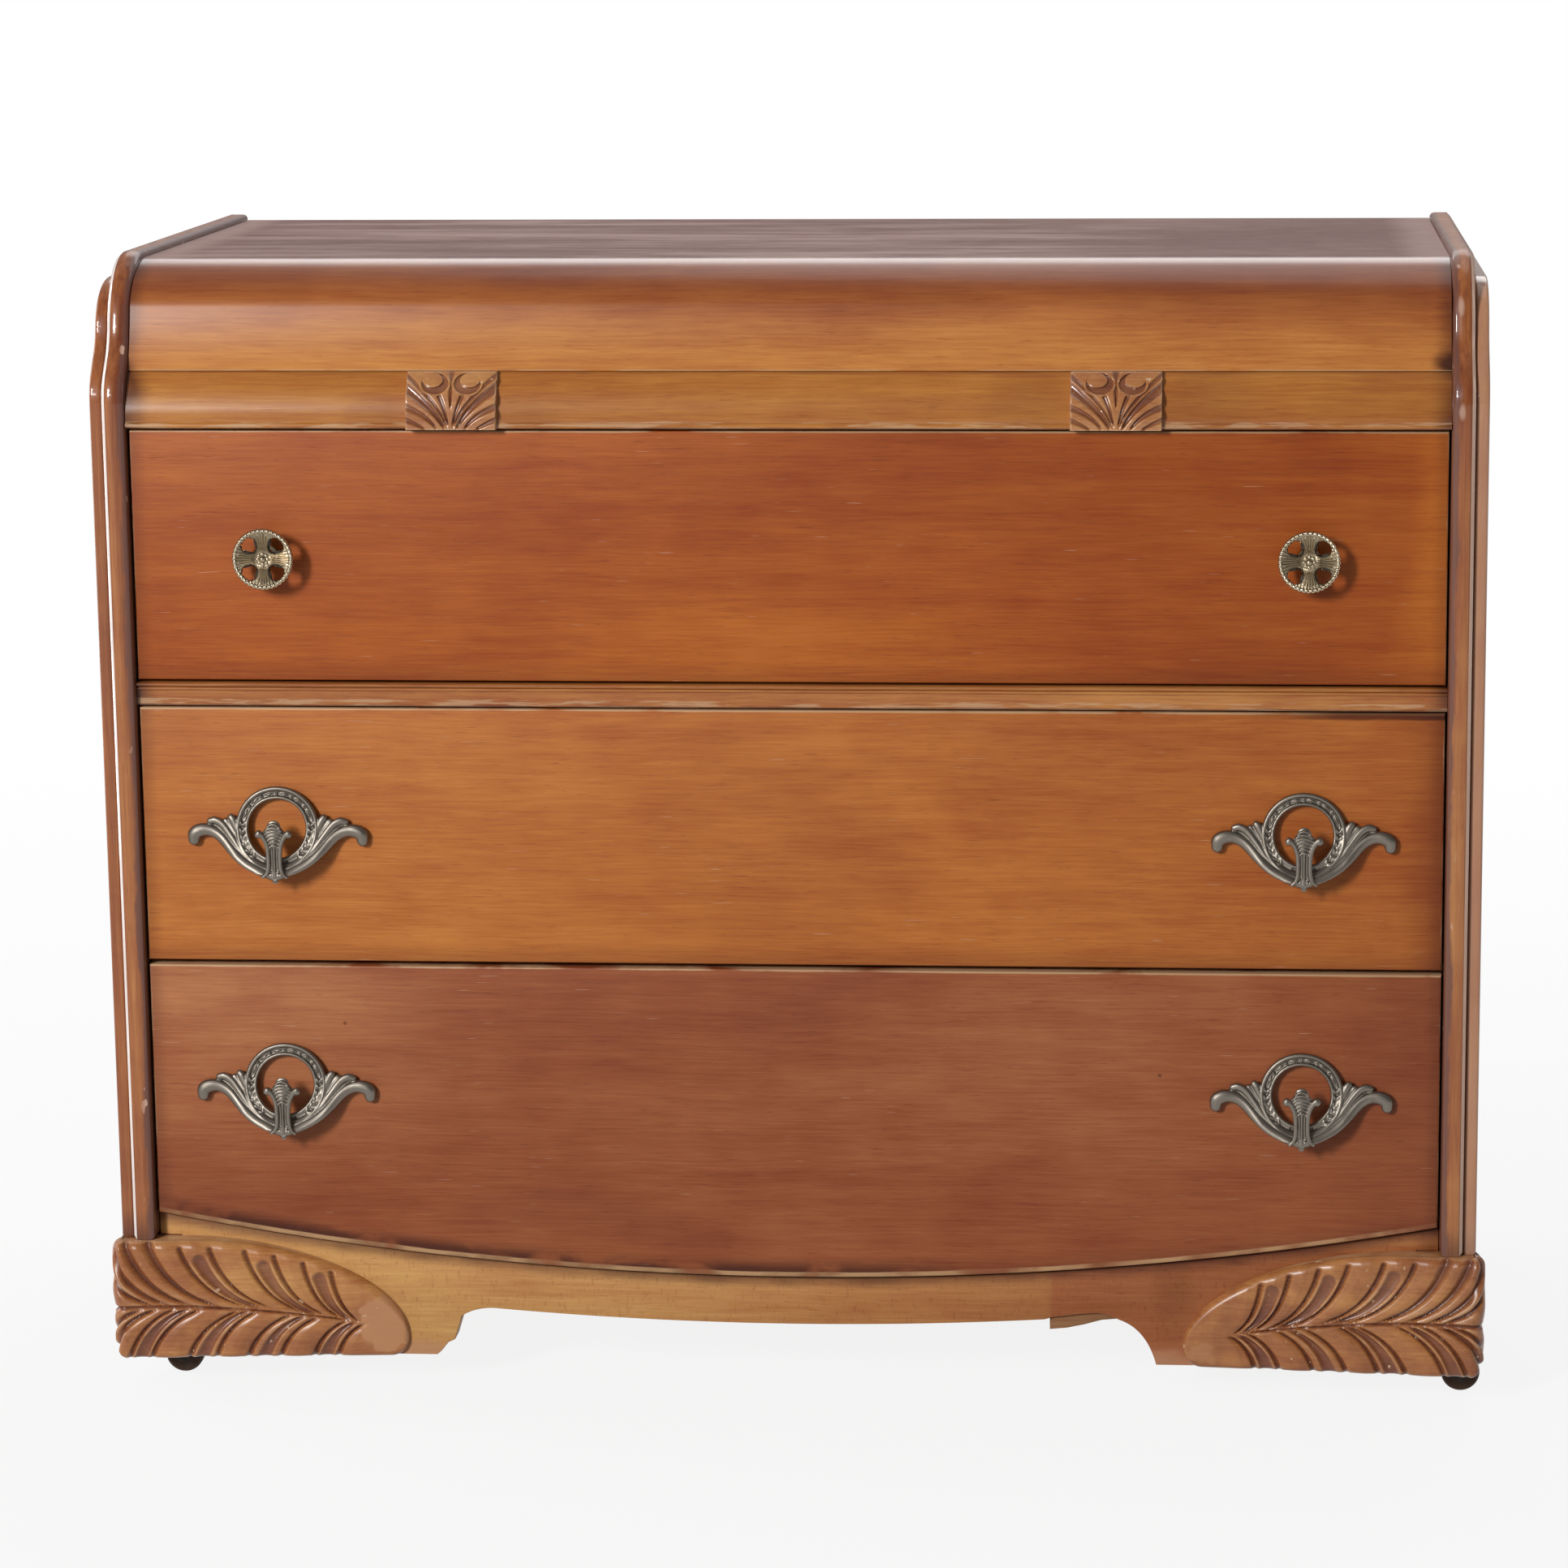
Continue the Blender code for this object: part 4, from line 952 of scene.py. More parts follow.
def mouldings(finishes):
    node = "frieze_bead"
    low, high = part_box(node)
    back = high.y - FRONT_Y
    outline = [(back, BEAD_LOW), (back, BEAD_TOP)] + bead_face()
    finished(node, prism(outline, across, low.x, high.x), finishes["bead"], CASE)
    node = "middle_rail"
    low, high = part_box(node)
    proud = FRONT_Y - low.y + RAIL_SETBACK
    groove = high.z - RAIL_BEAD - RAIL_GROOVE
    outline = [(high.y - FRONT_Y, low.z), (high.y - FRONT_Y, high.z)]
    outline += arc((RAIL_SETBACK, high.z - RAIL_BEAD / 2), (proud, RAIL_BEAD / 2), 90, 270, 12)
    outline += arc((RAIL_SETBACK, groove), (-RAIL_GROOVE, RAIL_GROOVE), 90, -90, 8)
    outline.append((RAIL_SETBACK, low.z))
    finished(node, prism(outline, across, low.x, high.x), finishes["rail"], CASE)


def arch(x):
    """Lower edge of the lower drawer front."""
    return ARCH_HIGH - (ARCH_HIGH - ARCH_LOW) * (1 - (x / FRONT_HALF) ** 2)


def cove_line(crest):
    """Lower edge of the right bracket from the apron's crest out to its tip."""
    t = np.linspace(0, 1, 25)
    run = 2 * t * (1 - t) * COVE_SWEEP + t ** 2
    return [(crest + COVE_RUN * r, BRACKET_LOW + COVE_RISE * (1 - s ** 2)) for r, s in zip(run, t)]


# Corner broken off the left bracket, as (x, height above its lower edge)
BROKEN_CORNER = ((-0.2962, 0.0034), (-0.2905, 0.0106), (-0.2848, 0.0134))
# Strip behind the apron that shows in its chip, as (x, z)
BACKING_STRIP = (
    (CHIP_START - 0.0005, 0.0900), (CHIP_START, 0.0575), (0.2260, 0.0588), (0.2400, 0.0618),
    (0.2550, 0.0660), (0.2680, 0.0672), (0.2680, 0.0900),
)


def apron(finishes):
    """Apron with a chipped lower edge and a broken bracket corner, and the strip behind the chip."""
    node = "apron"
    low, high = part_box(node)
    reach = high.x
    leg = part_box("right_front_leg")[0].x - FIT_GAP
    seat = FOOT_TOP + FIT_GAP
    crest = BRACKET_TIP - COVE_RUN
    cove = cove_line(crest)
    outline = [(x, arch(x) - ARCH_GAP) for x in np.linspace(reach, -reach, 97)]
    outline += [(-reach, seat), (-leg, seat), (-leg, BRACKET_LOW), (-BRACKET_TIP, BRACKET_LOW)]
    outline += [(x, BRACKET_LOW + rise) for x, rise in BROKEN_CORNER]
    outline += [(-x, z) for x, z in cove[::-1] if x < BREAK_END]
    for x in np.linspace(-crest, crest, 81)[1:-1]:
        belly = APRON_BELLY * (1 - (x / crest) ** 2)
        chipped = min(max((x - CHIP_START) / CHIP_RAMP, 0.0), 1.0)
        chip = CHIP_RISE * chipped * (0.75 + 0.25 * sin(x * 900))
        outline.append((x, BRACKET_LOW + COVE_RISE - belly + chip))
    for i, (x, z) in enumerate(cove):
        outline.append((x, z + CHIP_RISE * max(1 - i / CHIP_POINTS, 0.0)))
    outline += [(leg, BRACKET_LOW), (leg, seat), (reach, seat)]
    bm = prism(outline, from_front, low.y - FRONT_Y, high.y - FRONT_Y)
    round_off(bm, rim_of(bm, 1, low.y), APRON_ROUND, 2)
    finished(node, bm, finishes["apron"], CASE)
    strip_front, strip_back = low.y + STRIP_BEHIND, high.y - STRIP_SHORT
    bm = prism(BACKING_STRIP, from_front, strip_front - FRONT_Y, strip_back - FRONT_Y)
    round_off(bm, rim_of(bm, 1, strip_front), STRIP_ROUND, 2)
    show("apron_backing_strip", settled(bm, "apron_backing_strip"), finishes["strip"], CASE)


def gouge(points, line, widths, depth, shape=2.0, fade=0.2):
    """Depth that a gouge cuts along a line, its half width running between two values."""
    gaps = np.hypot(points[:, None, 0] - line[None, :, 0], points[:, None, 1] - line[None, :, 1])
    nearest = gaps.argmin(1)
    t = nearest / (len(line) - 1)
    half = widths[0] + (widths[1] - widths[0]) * t
    share = np.clip(gaps.min(1) / half, 0, 1)
    return depth * np.clip(t / fade, 0.15, 1) * (1 - share ** shape)


# Leaf on the feet, in millimetres from the foot's outer end and from its lower edge
MIDRIB = ((210, 25.5), (142, 37), (64, 41), (-26, 39))
UPPER_PAIRS = (((207, 183), (193, 160)), ((183, 136), (164, 112)), ((139, 83), (119, 58)))
UPPER_SINGLES = ((94, 32), (71, 13), (53, -3), (41, -18))
LOWER_PAIRS = (
    ((212, 187), (197, 167)), ((175, 139), (155, 112)), ((126, 86), (112, 63)), ((80, 32), (58, 14)),
)
LOWER_SINGLES = ((43, -4), (31, -18))
FLUTE_END = 0.88
LEAF_DEPTH = 3.4
# Gouges: half widths at both ends, depth, power of the section and share of the length that fades in
SLOT_GOUGE = ((0.8, 3.2), 3.0, 1.0)
FLUTE_GOUGE = ((1.0, 6.6), LEAF_DEPTH, 2.0)
VEIN_GOUGE = ((1.0, 6.0), 3.2, 1.0)
RIB_GOUGE = ((1.0, 2.6), 2.6, 1.2, 0.1)
SWELL_GOUGE = ((2.5, 11.0), 1.5, 1.0)
# Hollow along the midrib: depth, width, and where it starts and is full
DISH_CUT = 1.8
DISH_WIDTH = 9.0
DISH_START = 212
DISH_FADE = 20
# Columns and rows of a foot's face, and how far they crowd towards its edges
FOOT_GRID = (380, 132)
COLUMN_CROWDING = 0.11
ROW_CROWDING = 0.07
# Radii of a foot's upper, lower and inner edges
FOOT_EDGES = (8.0, 4.5, 5.0)
EDGE_FULLNESS = 0.98


def edge_drop(gap, radius):
    """How far a rounded edge lies below the face, at a distance from the edge."""
    inside = np.clip(radius - gap, 0, radius)
    return radius - np.sqrt(radius ** 2 - inside ** 2 * EDGE_FULLNESS)


def midrib_height(a):
    x, z = zip(*sorted(MIDRIB))
    return np.interp(a, x, z)


def foot_top(a):
    """Upper edge of a foot, in millimetres, at a distance from its outer end."""
    run = (FOOT_LENGTH - FOOT_LEDGE) * 1000
    rise = (FOOT_TOP - FOOT_LOW - FOOT_NOSE) * 1000
    share = np.clip((np.asarray(a, float) - FOOT_LEDGE * 1000) / run, 0, 1)
    return FOOT_NOSE * 1000 + rise * (1 - share ** FOOT_FULLNESS) ** (1 / FOOT_FULLNESS)


def foot_bottom(a):
    """Lower edge of a foot, rounded at both ends."""
    a = np.asarray(a, float)
    nose, corner = FOOT_NOSE * 1000, FOOT_CORNER * 1000
    inner = np.clip((a - (FOOT_LENGTH * 1000 - nose)) / nose, 0, 1)
    outer = np.clip((corner - a) / corner, 0, 1)
    return nose * (1 - np.sqrt(1 - inner ** 2)) + corner * (1 - np.sqrt(1 - outer ** 2)) * 0.8


def leaflet(start, end, edge):
    """Line of a leaflet's vein: it leaves the midrib flat and turns to the edge."""
    first = np.array((start, midrib_height(start)))
    last = np.array((end, edge))
    control = first + (last - first) * np.array((0.76, 0.20))
    return bezier(first, control, last)


def leaf_cut(points):
    """Depth of the carving, and of its grooves alone, in millimetres at points of the foot's face."""
    lines, valleys = [], []
    for pairs, singles, upper in ((UPPER_PAIRS, UPPER_SINGLES, True), (LOWER_PAIRS, LOWER_SINGLES, False)):
        def edge(a):
            return foot_top(a) - 7.0 if upper else -4.0
        for pair in pairs:
            slots = [leaflet(start, end, edge(end)) for start, end in pair]
            lines += [(slot, *SLOT_GOUGE) for slot in slots]
            valleys += slots
            flute = (slots[0] + slots[1]) / 2
            if upper:
                flute = flute[: int(len(flute) * FLUTE_END)]
            lines.append((flute, *FLUTE_GOUGE))
        for start, end in singles:
            valleys.append(leaflet(start, end, edge(end) + 4.0))
            lines.append((valleys[-1], *VEIN_GOUGE))
    rib = bezier(*MIDRIB[:3], steps=160)
    rib = np.concatenate((rib, bezier(MIDRIB[2], (20, 42), MIDRIB[3], steps=100)))
    cut = gouge(points, rib, *RIB_GOUGE)
    for line in lines:
        cut = np.maximum(cut, gouge(points, *line))
    valley = np.abs(points[:, 1] - midrib_height(points[:, 0]))
    full = np.clip((DISH_START - points[:, 0]) / DISH_FADE, 0, 1)
    dish = DISH_CUT * np.exp(-(valley / DISH_WIDTH) ** 2) * full
    swell = np.zeros(len(points))
    for line in valleys:
        swell = np.maximum(swell, gouge(points, line, *SWELL_GOUGE))
    return cut + dish + swell, cut


def carved_foot(side, sign, finish):
    """A foot whose leaf carving runs round its outer corner."""
    node = f"{side}_front_foot"
    low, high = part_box(node)
    outer = high.x if sign > 0 else -low.x
    face = low.y + FOOT_RECESS
    corner = FOOT_CORNER
    straight = FOOT_LENGTH - corner
    flank = high.y - face - corner
    quarter = corner * pi / 2
    total = straight + quarter + flank
    bm = bmesh.new()
    bmesh.ops.create_grid(bm, x_segments=FOOT_GRID[0], y_segments=FOOT_GRID[1], size=1.0)
    grid = np.array([vert.co[:2] for vert in bm.verts]) / 2 + 0.5
    run = total * (grid[:, 0] - COLUMN_CROWDING * np.sin(2 * pi * grid[:, 0]) / pi)
    a = (FOOT_LENGTH - run) * 1000
    lift = grid[:, 1] - ROW_CROWDING * np.sin(2 * pi * grid[:, 1])
    bottom, top = foot_bottom(a) + (BRACKET_LOW - FOOT_LOW) * 1000, foot_top(a)
    b = bottom + (top - bottom) * lift
    cut, groove = leaf_cut(np.stack((a, b), 1))
    for gap, radius in zip((top - b, b - bottom, FOOT_LENGTH * 1000 - a), FOOT_EDGES):
        cut += edge_drop(gap, radius)
    layer = bm.verts.layers.float.new("groove")
    thick = high.y - face
    for vert, s, height, depth, dark in zip(bm.verts, run, b / 1000, cut / 1000, groove / LEAF_DEPTH):
        vert[layer] = dark
        turn = min(max((s - straight) / corner, 0.0), pi / 2)
        spot = Vector((outer - corner, face + corner))
        if s < straight:
            taper = FOOT_TAPER * ((straight - s) / straight) ** TAPER_BEND
            spot.x -= straight - s
            spot.y += taper
            depth = min(depth, thick - taper - FOOT_WALL)
        if s > straight + quarter:
            spot.y += s - straight - quarter
        normal = Vector((sin(turn), -cos(turn)))
        spot += normal * (corner - depth)
        vert.co = (sign * spot.x, spot.y, FOOT_LOW + height)
    close_back(bm, lambda y: high.y)
    bmesh.ops.remove_doubles(bm, verts=bm.verts, dist=1e-6)
    finished(node, bm, finish, CASE, FOOT_RELIEF, CARVED_CREASE)


# Palmette on the frieze blocks, in millimetres from the block's middle and from its lower edge:
# line of each flute, its half widths at both ends, and its depth
PALMETTE = (
    (((1.8, 3), (3.5, 14), (10.0, 28)), (0.8, 2.4), 2.4),
    (((2.4, 2), (8.5, 20), (37.0, 43.0)), (0.9, 2.4), 2.2),
    (((4.6, 0), (11.0, 16), (38.0, 34.0)), (1.1, 5.0), 3.0),
    (((11.0, 0), (18.0, 12), (38.0, 18.5)), (1.1, 3.6), 2.5),
    (((20.0, 0), (28.0, 5), (38.0, 8.5)), (1.0, 2.8), 2.2),
)
WEDGE = ((0, 17), (0, 30), (0, 47))
WEDGE_WIDTHS = (0.5, 4.2)
BOSS = (15.0, 38.6)
BOSS_RADII = (8.7, 5.8)
CRESCENT_SHIFT = (-2.0, -2.6)
CRESCENT_GROWTH = 2.6
CRESCENT_DEPTH = 2.4
PALMETTE_HEIGHT = 45.0
PALMETTE_DEPTH = 3.0
BLOCK_GRID = (150, 110)
BLOCK_EDGE = 1.2


def palmette_cut(points):
    """Depth of the block's carving: a middle wedge, two bosses in crescents and five flutes each side."""
    folded = np.stack((np.abs(points[:, 0]), points[:, 1]), 1)
    cut = gouge(folded, bezier(*WEDGE), WEDGE_WIDTHS, CRESCENT_DEPTH, 1.3, 0.1)
    for line, widths, depth in PALMETTE:
        cut = np.maximum(cut, gouge(folded, bezier(*line), widths, depth, 1.9, 0.12))
    away = folded - np.array(BOSS)
    radii = np.array(BOSS_RADII)
    boss = np.hypot(*(away / radii).T)
    crescent = np.hypot(*((away - np.array(CRESCENT_SHIFT)) / (radii + CRESCENT_GROWTH)).T)
    hollow = np.clip((1 - crescent) / 0.12, 0, 1) * CRESCENT_DEPTH
    rim = np.exp(-((crescent - 1.08) / 0.07) ** 2) * (folded[:, 1] < 44)
    cut = np.where(crescent < 1, hollow, np.maximum(cut * (1 - rim), 0))
    raised = np.clip((1 - boss) / 0.10, 0, 1)
    return cut * (1 - raised) + 0.5 * raised * np.clip(boss, 0, 1) ** 3


def carved_blocks(finish):
    face = [(y, z) for y, z in bead_face() if z >= BEAD_LOW + LIP_HEIGHT][::-1]
    face = [(face[0][0], BEAD_LOW)] + face
    steps = [np.hypot(q[0] - p[0], q[1] - p[1]) for p, q in zip(face, face[1:])]
    runs = np.concatenate(([0], np.cumsum(steps)))
    for side, _ in SIDES:
        node = f"{side}_carved_block"
        low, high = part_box(node)
        half = (high.x - low.x) / 2
        middle = (high.x + low.x) / 2
        bm = bmesh.new()
        bmesh.ops.create_grid(bm, x_segments=BLOCK_GRID[0], y_segments=BLOCK_GRID[1], size=1.0)
        grid = np.array([vert.co[:2] for vert in bm.verts])
        x = grid[:, 0] * half
        run = (grid[:, 1] / 2 + 0.5) * runs[-1]
        y = np.interp(run, runs, [point[0] for point in face])
        z = np.interp(run, runs, [point[1] for point in face])
        scaled = (z - BEAD_LOW) / (BEAD_TOP - BEAD_LOW) * PALMETTE_HEIGHT
        groove = palmette_cut(np.stack((x * 1000, scaled), 1))
        cut = groove + edge_drop((half - np.abs(x)) * 1000, BLOCK_EDGE)
        layer = bm.verts.layers.float.new("groove")
        for vert, px, py, pz, depth, dark in zip(bm.verts, x, y, z, cut, groove / PALMETTE_DEPTH):
            vert[layer] = dark
            vert.co = (middle + px, FRONT_Y + py - BLOCK_PROUD + depth / 1000, pz)
        close_back(bm, lambda y: y + BLOCK_PROUD - BLOCK_SEAT)
        finished(node, bm, finish, CASE, BLOCK_RELIEF, CARVED_CREASE)


def legs(finish):
    for side, _ in SIDES:
        for place in PLACES:
            node = f"{side}_{place}_leg"
            low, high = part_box(node)
            bm = block(low, high)
            upright = [edge for edge in bm.edges if abs(edge.verts[0].co.z - edge.verts[1].co.z) > 0.01]
            round_off(bm, upright, LEG_ROUND, 4)
            round_off(bm, rim_of(bm, 2, low.z), LEG_END_ROUND, 3)
            finished(node, bm, finish, CASE)


# Drawers
def drawer_fronts(finishes):
    for row in ROWS:
        node = f"{row}_drawer_front"
        low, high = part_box(node)
        if row == "lower":
            outline = [(x, arch(x)) for x in np.linspace(low.x, high.x, 97)]
        else:
            outline = [(low.x, low.z), (high.x, low.z)]
        outline += [(high.x, high.z), (low.x, high.z)]
        bm = prism(outline, from_front, low.y - FRONT_Y, high.y - FRONT_Y)
        round_off(bm, rim_of(bm, 1, low.y), FRONT_ROUND, 4)
        finished(node, bm, finishes[row], f"{row}_drawer")


# Screws: washer, height of the head and half width of the slot, as shares of the head's radius
WASHER_SHARE = 1.5
HEAD_SHARE = 0.62
SLOT_SHARE = 0.14


def screw_mesh(radius):
    """A slotted round head on a plain washer, its axis along Z."""
    rim = radius * WASHER_SHARE
    profile = [(0.0, 0.0), (rim, 0.0), (rim, WASHER * 0.8), (radius, WASHER)]
    profile += [(r, WASHER + z) for r, z in arc((0.0, 0.0), (radius, radius * HEAD_SHARE), 0, 90, 8)]
    bm = turned(profile, 32)
    slot = radius * SLOT_SHARE
    for side in (-1, 1):
        slice_at(bm, side * slot)
    for vert in bm.verts:
        if abs(vert.co.x) < slot * 0.9 and vert.co.z > SLOT_FLOOR:
            vert.co.z = SLOT_FLOOR
    return bm


def screws(finish):
    """Heads inside the drawers that hold the knobs and pulls."""
    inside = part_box("middle_drawer_front")[1].y
    turn = Matrix.Rotation(-pi / 2, 4, "X")
    for row in ROWS:
        for side, _ in SIDES:
            node = f"{side}_knob" if row == "upper" else f"{side}_{row}_pull"
            low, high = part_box(node)
            spread = (0.0,) if row == "upper" else (-SCREW_SPREAD, SCREW_SPREAD)
            height = (low.z + high.z) / 2 if row == "upper" else high.z - PULL_TOP - SCREW_DROP
            bm = bmesh.new()
            for offset in spread:
                spot = Matrix.Translation(((low.x + high.x) / 2 + offset, inside, height))
                put(bm, screw_mesh(SCREW_RADIUS), spot @ turn)
            show(f"{node}_screws", settled(bm, f"{node}_screws"), finish, f"{row}_drawer")


def smooth_line(points, steps=8):
    """A smooth curve through points of any size of tuple."""
    p = np.array(points, float)
    p = np.concatenate(([2 * p[0] - p[1]], p, [2 * p[-1] - p[-2]]))
    t = np.linspace(0, 1, steps, endpoint=False)[:, None]
    parts = []
    for a, b, c, d in zip(p, p[1:], p[2:], p[3:]):
        parts.append(0.5 * (2 * b + (c - a) * t + (2 * a - 5 * b + 4 * c - d) * t ** 2
                            + (3 * b - a - 3 * c + d) * t ** 3))
    return np.concatenate(parts + [p[-2:-1]])


# How far the sections of a bar's round end stand out, as shares of its radius
CAP_SHARES = (0.95, 0.75, 0.45)


def round_end(end, before):
    """Sections (x, z, radius) that close a bar beyond its end, from the outermost one inwards."""
    way = (end[:2] - before[:2]) / np.hypot(*(end[:2] - before[:2]))
    caps = zip(CAP_SHARES, np.sqrt(1 - np.array(CAP_SHARES) ** 2))
    return [np.array((*(end[:2] + way * end[2] * out), end[2] * size)) for out, size in caps]


def bar(bm, points, depth, flat=0.8, sides=14):
    """A round bar in the front view through (x, z, radius) points in millimetres, closed at both ends."""
    line = smooth_line(points)
    stations = round_end(line[0], line[1]) + list(line) + round_end(line[-1], line[-2])[::-1]
    loops = []
    for i, (x, z, radius) in enumerate(stations):
        ahead = stations[min(i + 1, len(stations) - 1)]
        behind = stations[max(i - 1, 0)]
        along = Vector((ahead[0] - behind[0], 0.0, ahead[1] - behind[1])).normalized()
        outward = Vector((0.0, -1.0, 0.0))
        side = outward.cross(along)
        turn = Matrix((side, outward, along)).transposed().to_4x4()
        place = Matrix.Translation((x / 1000, -depth / 1000, z / 1000)) @ turn
        size = Matrix.Diagonal((1.0, flat, 1.0, 1.0))
        ring = bmesh.ops.create_circle(bm, cap_ends=False, segments=sides, radius=radius / 1000,
                                       matrix=place @ size)
        loops.append(list({edge for vert in ring["verts"] for edge in vert.link_edges}))
    for before, after in zip(loops, loops[1:]):
        bmesh.ops.bridge_loops(bm, edges=before + after)
    bmesh.ops.holes_fill(bm, edges=loops[0] + loops[-1], sides=0)


def berry(bm, x, z, depth, radii, turn=0.0):
    """A small rounded swelling, in millimetres."""
    place = Matrix.Translation((x / 1000, -depth / 1000, z / 1000)) @ Matrix.Rotation(-turn, 4, "Y")
    size = Matrix.Diagonal((radii[0] / 1000, radii[1] / 1000, radii[2] / 1000, 1.0))
    bmesh.ops.create_icosphere(bm, subdivisions=2, radius=1.0, matrix=place @ size)


# Wings of a pull: (x, z, radius) from the tip to the foot, with each lobe's depth, in millimetres
LOBES = (
    (((69.6, -12.6, 4.8), (68.6, -7.4, 5.7), (63.0, -4.4, 5.5), (55.5, -4.8, 4.9), (47.3, -9.4, 4.5),
      (37.3, -19.6, 4.2), (26.0, -28.8, 4.0), (13.0, -35.0, 3.8), (2.0, -39.6, 3.4)), 3.6),
    (((55.8, 3.0, 2.8), (51.5, 3.6, 3.2), (45.5, 0.2, 3.2), (37.3, -9.8, 3.0), (28.0, -20.7, 2.8),
      (14.0, -30.4, 2.6), (0, -33.6, 2.4)), 3.5),
    (((38.2, 6.4, 3.0), (36.6, 4.4, 3.3), (33.4, -1.8, 3.1), (28.6, -9.8, 2.6), (21.5, -18.6, 2.3),
      (10, -26.5, 2.0)), 3.2),
    (((57, -1, 3.0), (44, -6, 3.4), (34, -16, 3.4), (25, -25.5, 3.2), (12, -33.5, 3.0)), 1.9),
    (((43, 3, 2.8), (36, -5, 3.2), (28, -15, 3.0), (20, -24, 2.8), (8, -31, 2.6)), 1.9),
)
RIDGE = ((9.6, -39.6, 1.5), (6.6, -36.6, 1.7), (5.0, -31.0, 1.8), (4.8, -22.0, 1.8), (5.5, -14.0, 1.9),
         (7.4, -8.4, 2.1), (9.8, -4.8, 2.4), (12.0, -3.2, 2.8))
LEAF_BODY = ((0, -43.2, 2.6), (0, -40.0, 3.9), (0, -34, 4.4), (0, -24, 4.4), (0, -15, 5.4), (0, -8, 8.2),
             (0, -2.5, 9.0), (0, 1.4, 6.0))
# Scales of the leaf's fan: height of each one's middle and its half width, in millimetres
FAN_SCALES = ((-13.5, 3.8), (-10.6, 4.8), (-7.7, 5.9), (-4.8, 6.9), (-1.9, 7.4), (1.0, 6.9), (3.9, 5.2))
FOOT_SCALES = ((-36.4, 3.6), (-39.0, 3.4), (-41.6, 2.8))
LEAF_VEIN = ((0, -40, 1.2), (0, -28, 1.0), (0, -14, 1.1))
# Scroll at the end of a ridge: x, z, depth and radii
SCROLL = (12.2, -4.2, 4.4, (3.4, 2.6, 3.2))
# Long and short bars on the ring's upper band, and pairs of leaves on its sides: angles, depth and radii
BAR_ANGLES = range(25, 156, 13)
BAR_DEPTH = 3.8
BAR_RADII = ((3.3, 1.1, 1.0), (0.9, 1.5, 1.4))
SIDE_LEAF_ANGLES = range(8, -48, -11)
SIDE_LEAF_DEPTH = 4.0
SIDE_LEAF_RADII = (3.2, 1.7, 1.3)
# How far each leaf of a pair lies off the band's middle, and how far it is turned
SIDE_LEAF_PAIR = ((1.5, -0.5), (-1.5, 0.5))


def pull_ring():
    """Ring with a raised rim inside and outside, and bars and leaves on the sunk band between."""
    outer, inner, drop = RING_OUTER * 1000, RING_HOLE * 1000, RING_DROP * 1000
    section = [(inner + 0.6, 0.4), (outer - 0.6, 0.4)]
    section += arc((outer - 2.0, 3.6), (2.0, 2.3), -60, 190, 14)
    section += [(outer - 4.2, 3.5), (inner + 3.2, 3.5)]
    section += arc((inner + 1.55, 3.7), (1.55, 1.9), -10, 240, 12)
    bm = turned([(r / 1000, z / 1000) for r, z in section], 96)
    bmesh.ops.rotate(bm, cent=(0, 0, 0), matrix=Matrix.Rotation(pi / 2, 3, "X"), verts=bm.verts)
    bmesh.ops.translate(bm, vec=(0, 0, -drop / 1000), verts=bm.verts)
    band = (outer + inner) / 2 - 0.5
    for i, angle in enumerate(BAR_ANGLES):
        turn = radians(angle)
        spot = (band * cos(turn), band * sin(turn) - drop)
        berry(bm, *spot, BAR_DEPTH, BAR_RADII[i % 2], turn + pi / 2)
    for side in (-1, 1):
        for angle in SIDE_LEAF_ANGLES:
            turn = radians(angle)
            for lane, tilt in SIDE_LEAF_PAIR:
                spot = (side * (band + lane) * cos(turn), (band + lane) * sin(turn) - drop)
                lean = turn + pi / 2 + tilt
                berry(bm, *spot, SIDE_LEAF_DEPTH, SIDE_LEAF_RADII, lean if side > 0 else pi - lean)
    return bm


def pull_leaf():
    """Leaf that stands up in front of the ring: two ridges ending in scrolls, and a scaled fan between."""
    bm = bmesh.new()
    bar(bm, LEAF_BODY, 2.3, 0.27)
    bar(bm, LEAF_VEIN, 4.0, 0.9, 10)
    for side in (-1, 1):
        bar(bm, [(side * x, z, r) for x, z, r in RIDGE], 4.2, 0.95)
        berry(bm, side * SCROLL[0], *SCROLL[1:])
    for middle, half in FAN_SCALES:
        bar(bm, ((-half, middle - 2.6, 0.7), (-half * 0.6, middle - 0.6, 0.8), (0, middle + 0.4, 0.9),
                 (half * 0.6, middle - 0.6, 0.8), (half, middle - 2.6, 0.7)), 4.5, 1.1, 10)
    for middle, half in FOOT_SCALES:
        bar(bm, ((-half, middle + 1.4, 0.7), (0, middle - 0.9, 0.9), (half, middle + 1.4, 0.7)),
            3.6, 1.1, 10)
    return bm


def stand_off(bm, leans_back):
    """Set a pull's flat relief off the drawer front: tips down, foot out, ring leaning back."""
    start = RING_HOLE + RING_DROP + RING_START
    stand = PULL_STAND - (LEAF_AHEAD if leans_back else 0.0)
    for vert in bm.verts:
        x, depth, z = vert.co.x, -vert.co.y, vert.co.z
        share = min(max((abs(x) - PULL_TOP) / (PULL_FOOT - PULL_TOP), 0.0), 1.0)
        rise = (max(z + start, 0.0) / (PULL_TOP + start)) ** PULL_BEND if leans_back else 0.0
        back = min(rise, 1.0) ** 2 * (3 - 2 * min(rise, 1.0))
        out = (stand - PULL_LEAN * back) * (1 + cos(pi * share)) / 2
        vert.co.y = -(max(depth, 0.0) + PULL_GAP + out)


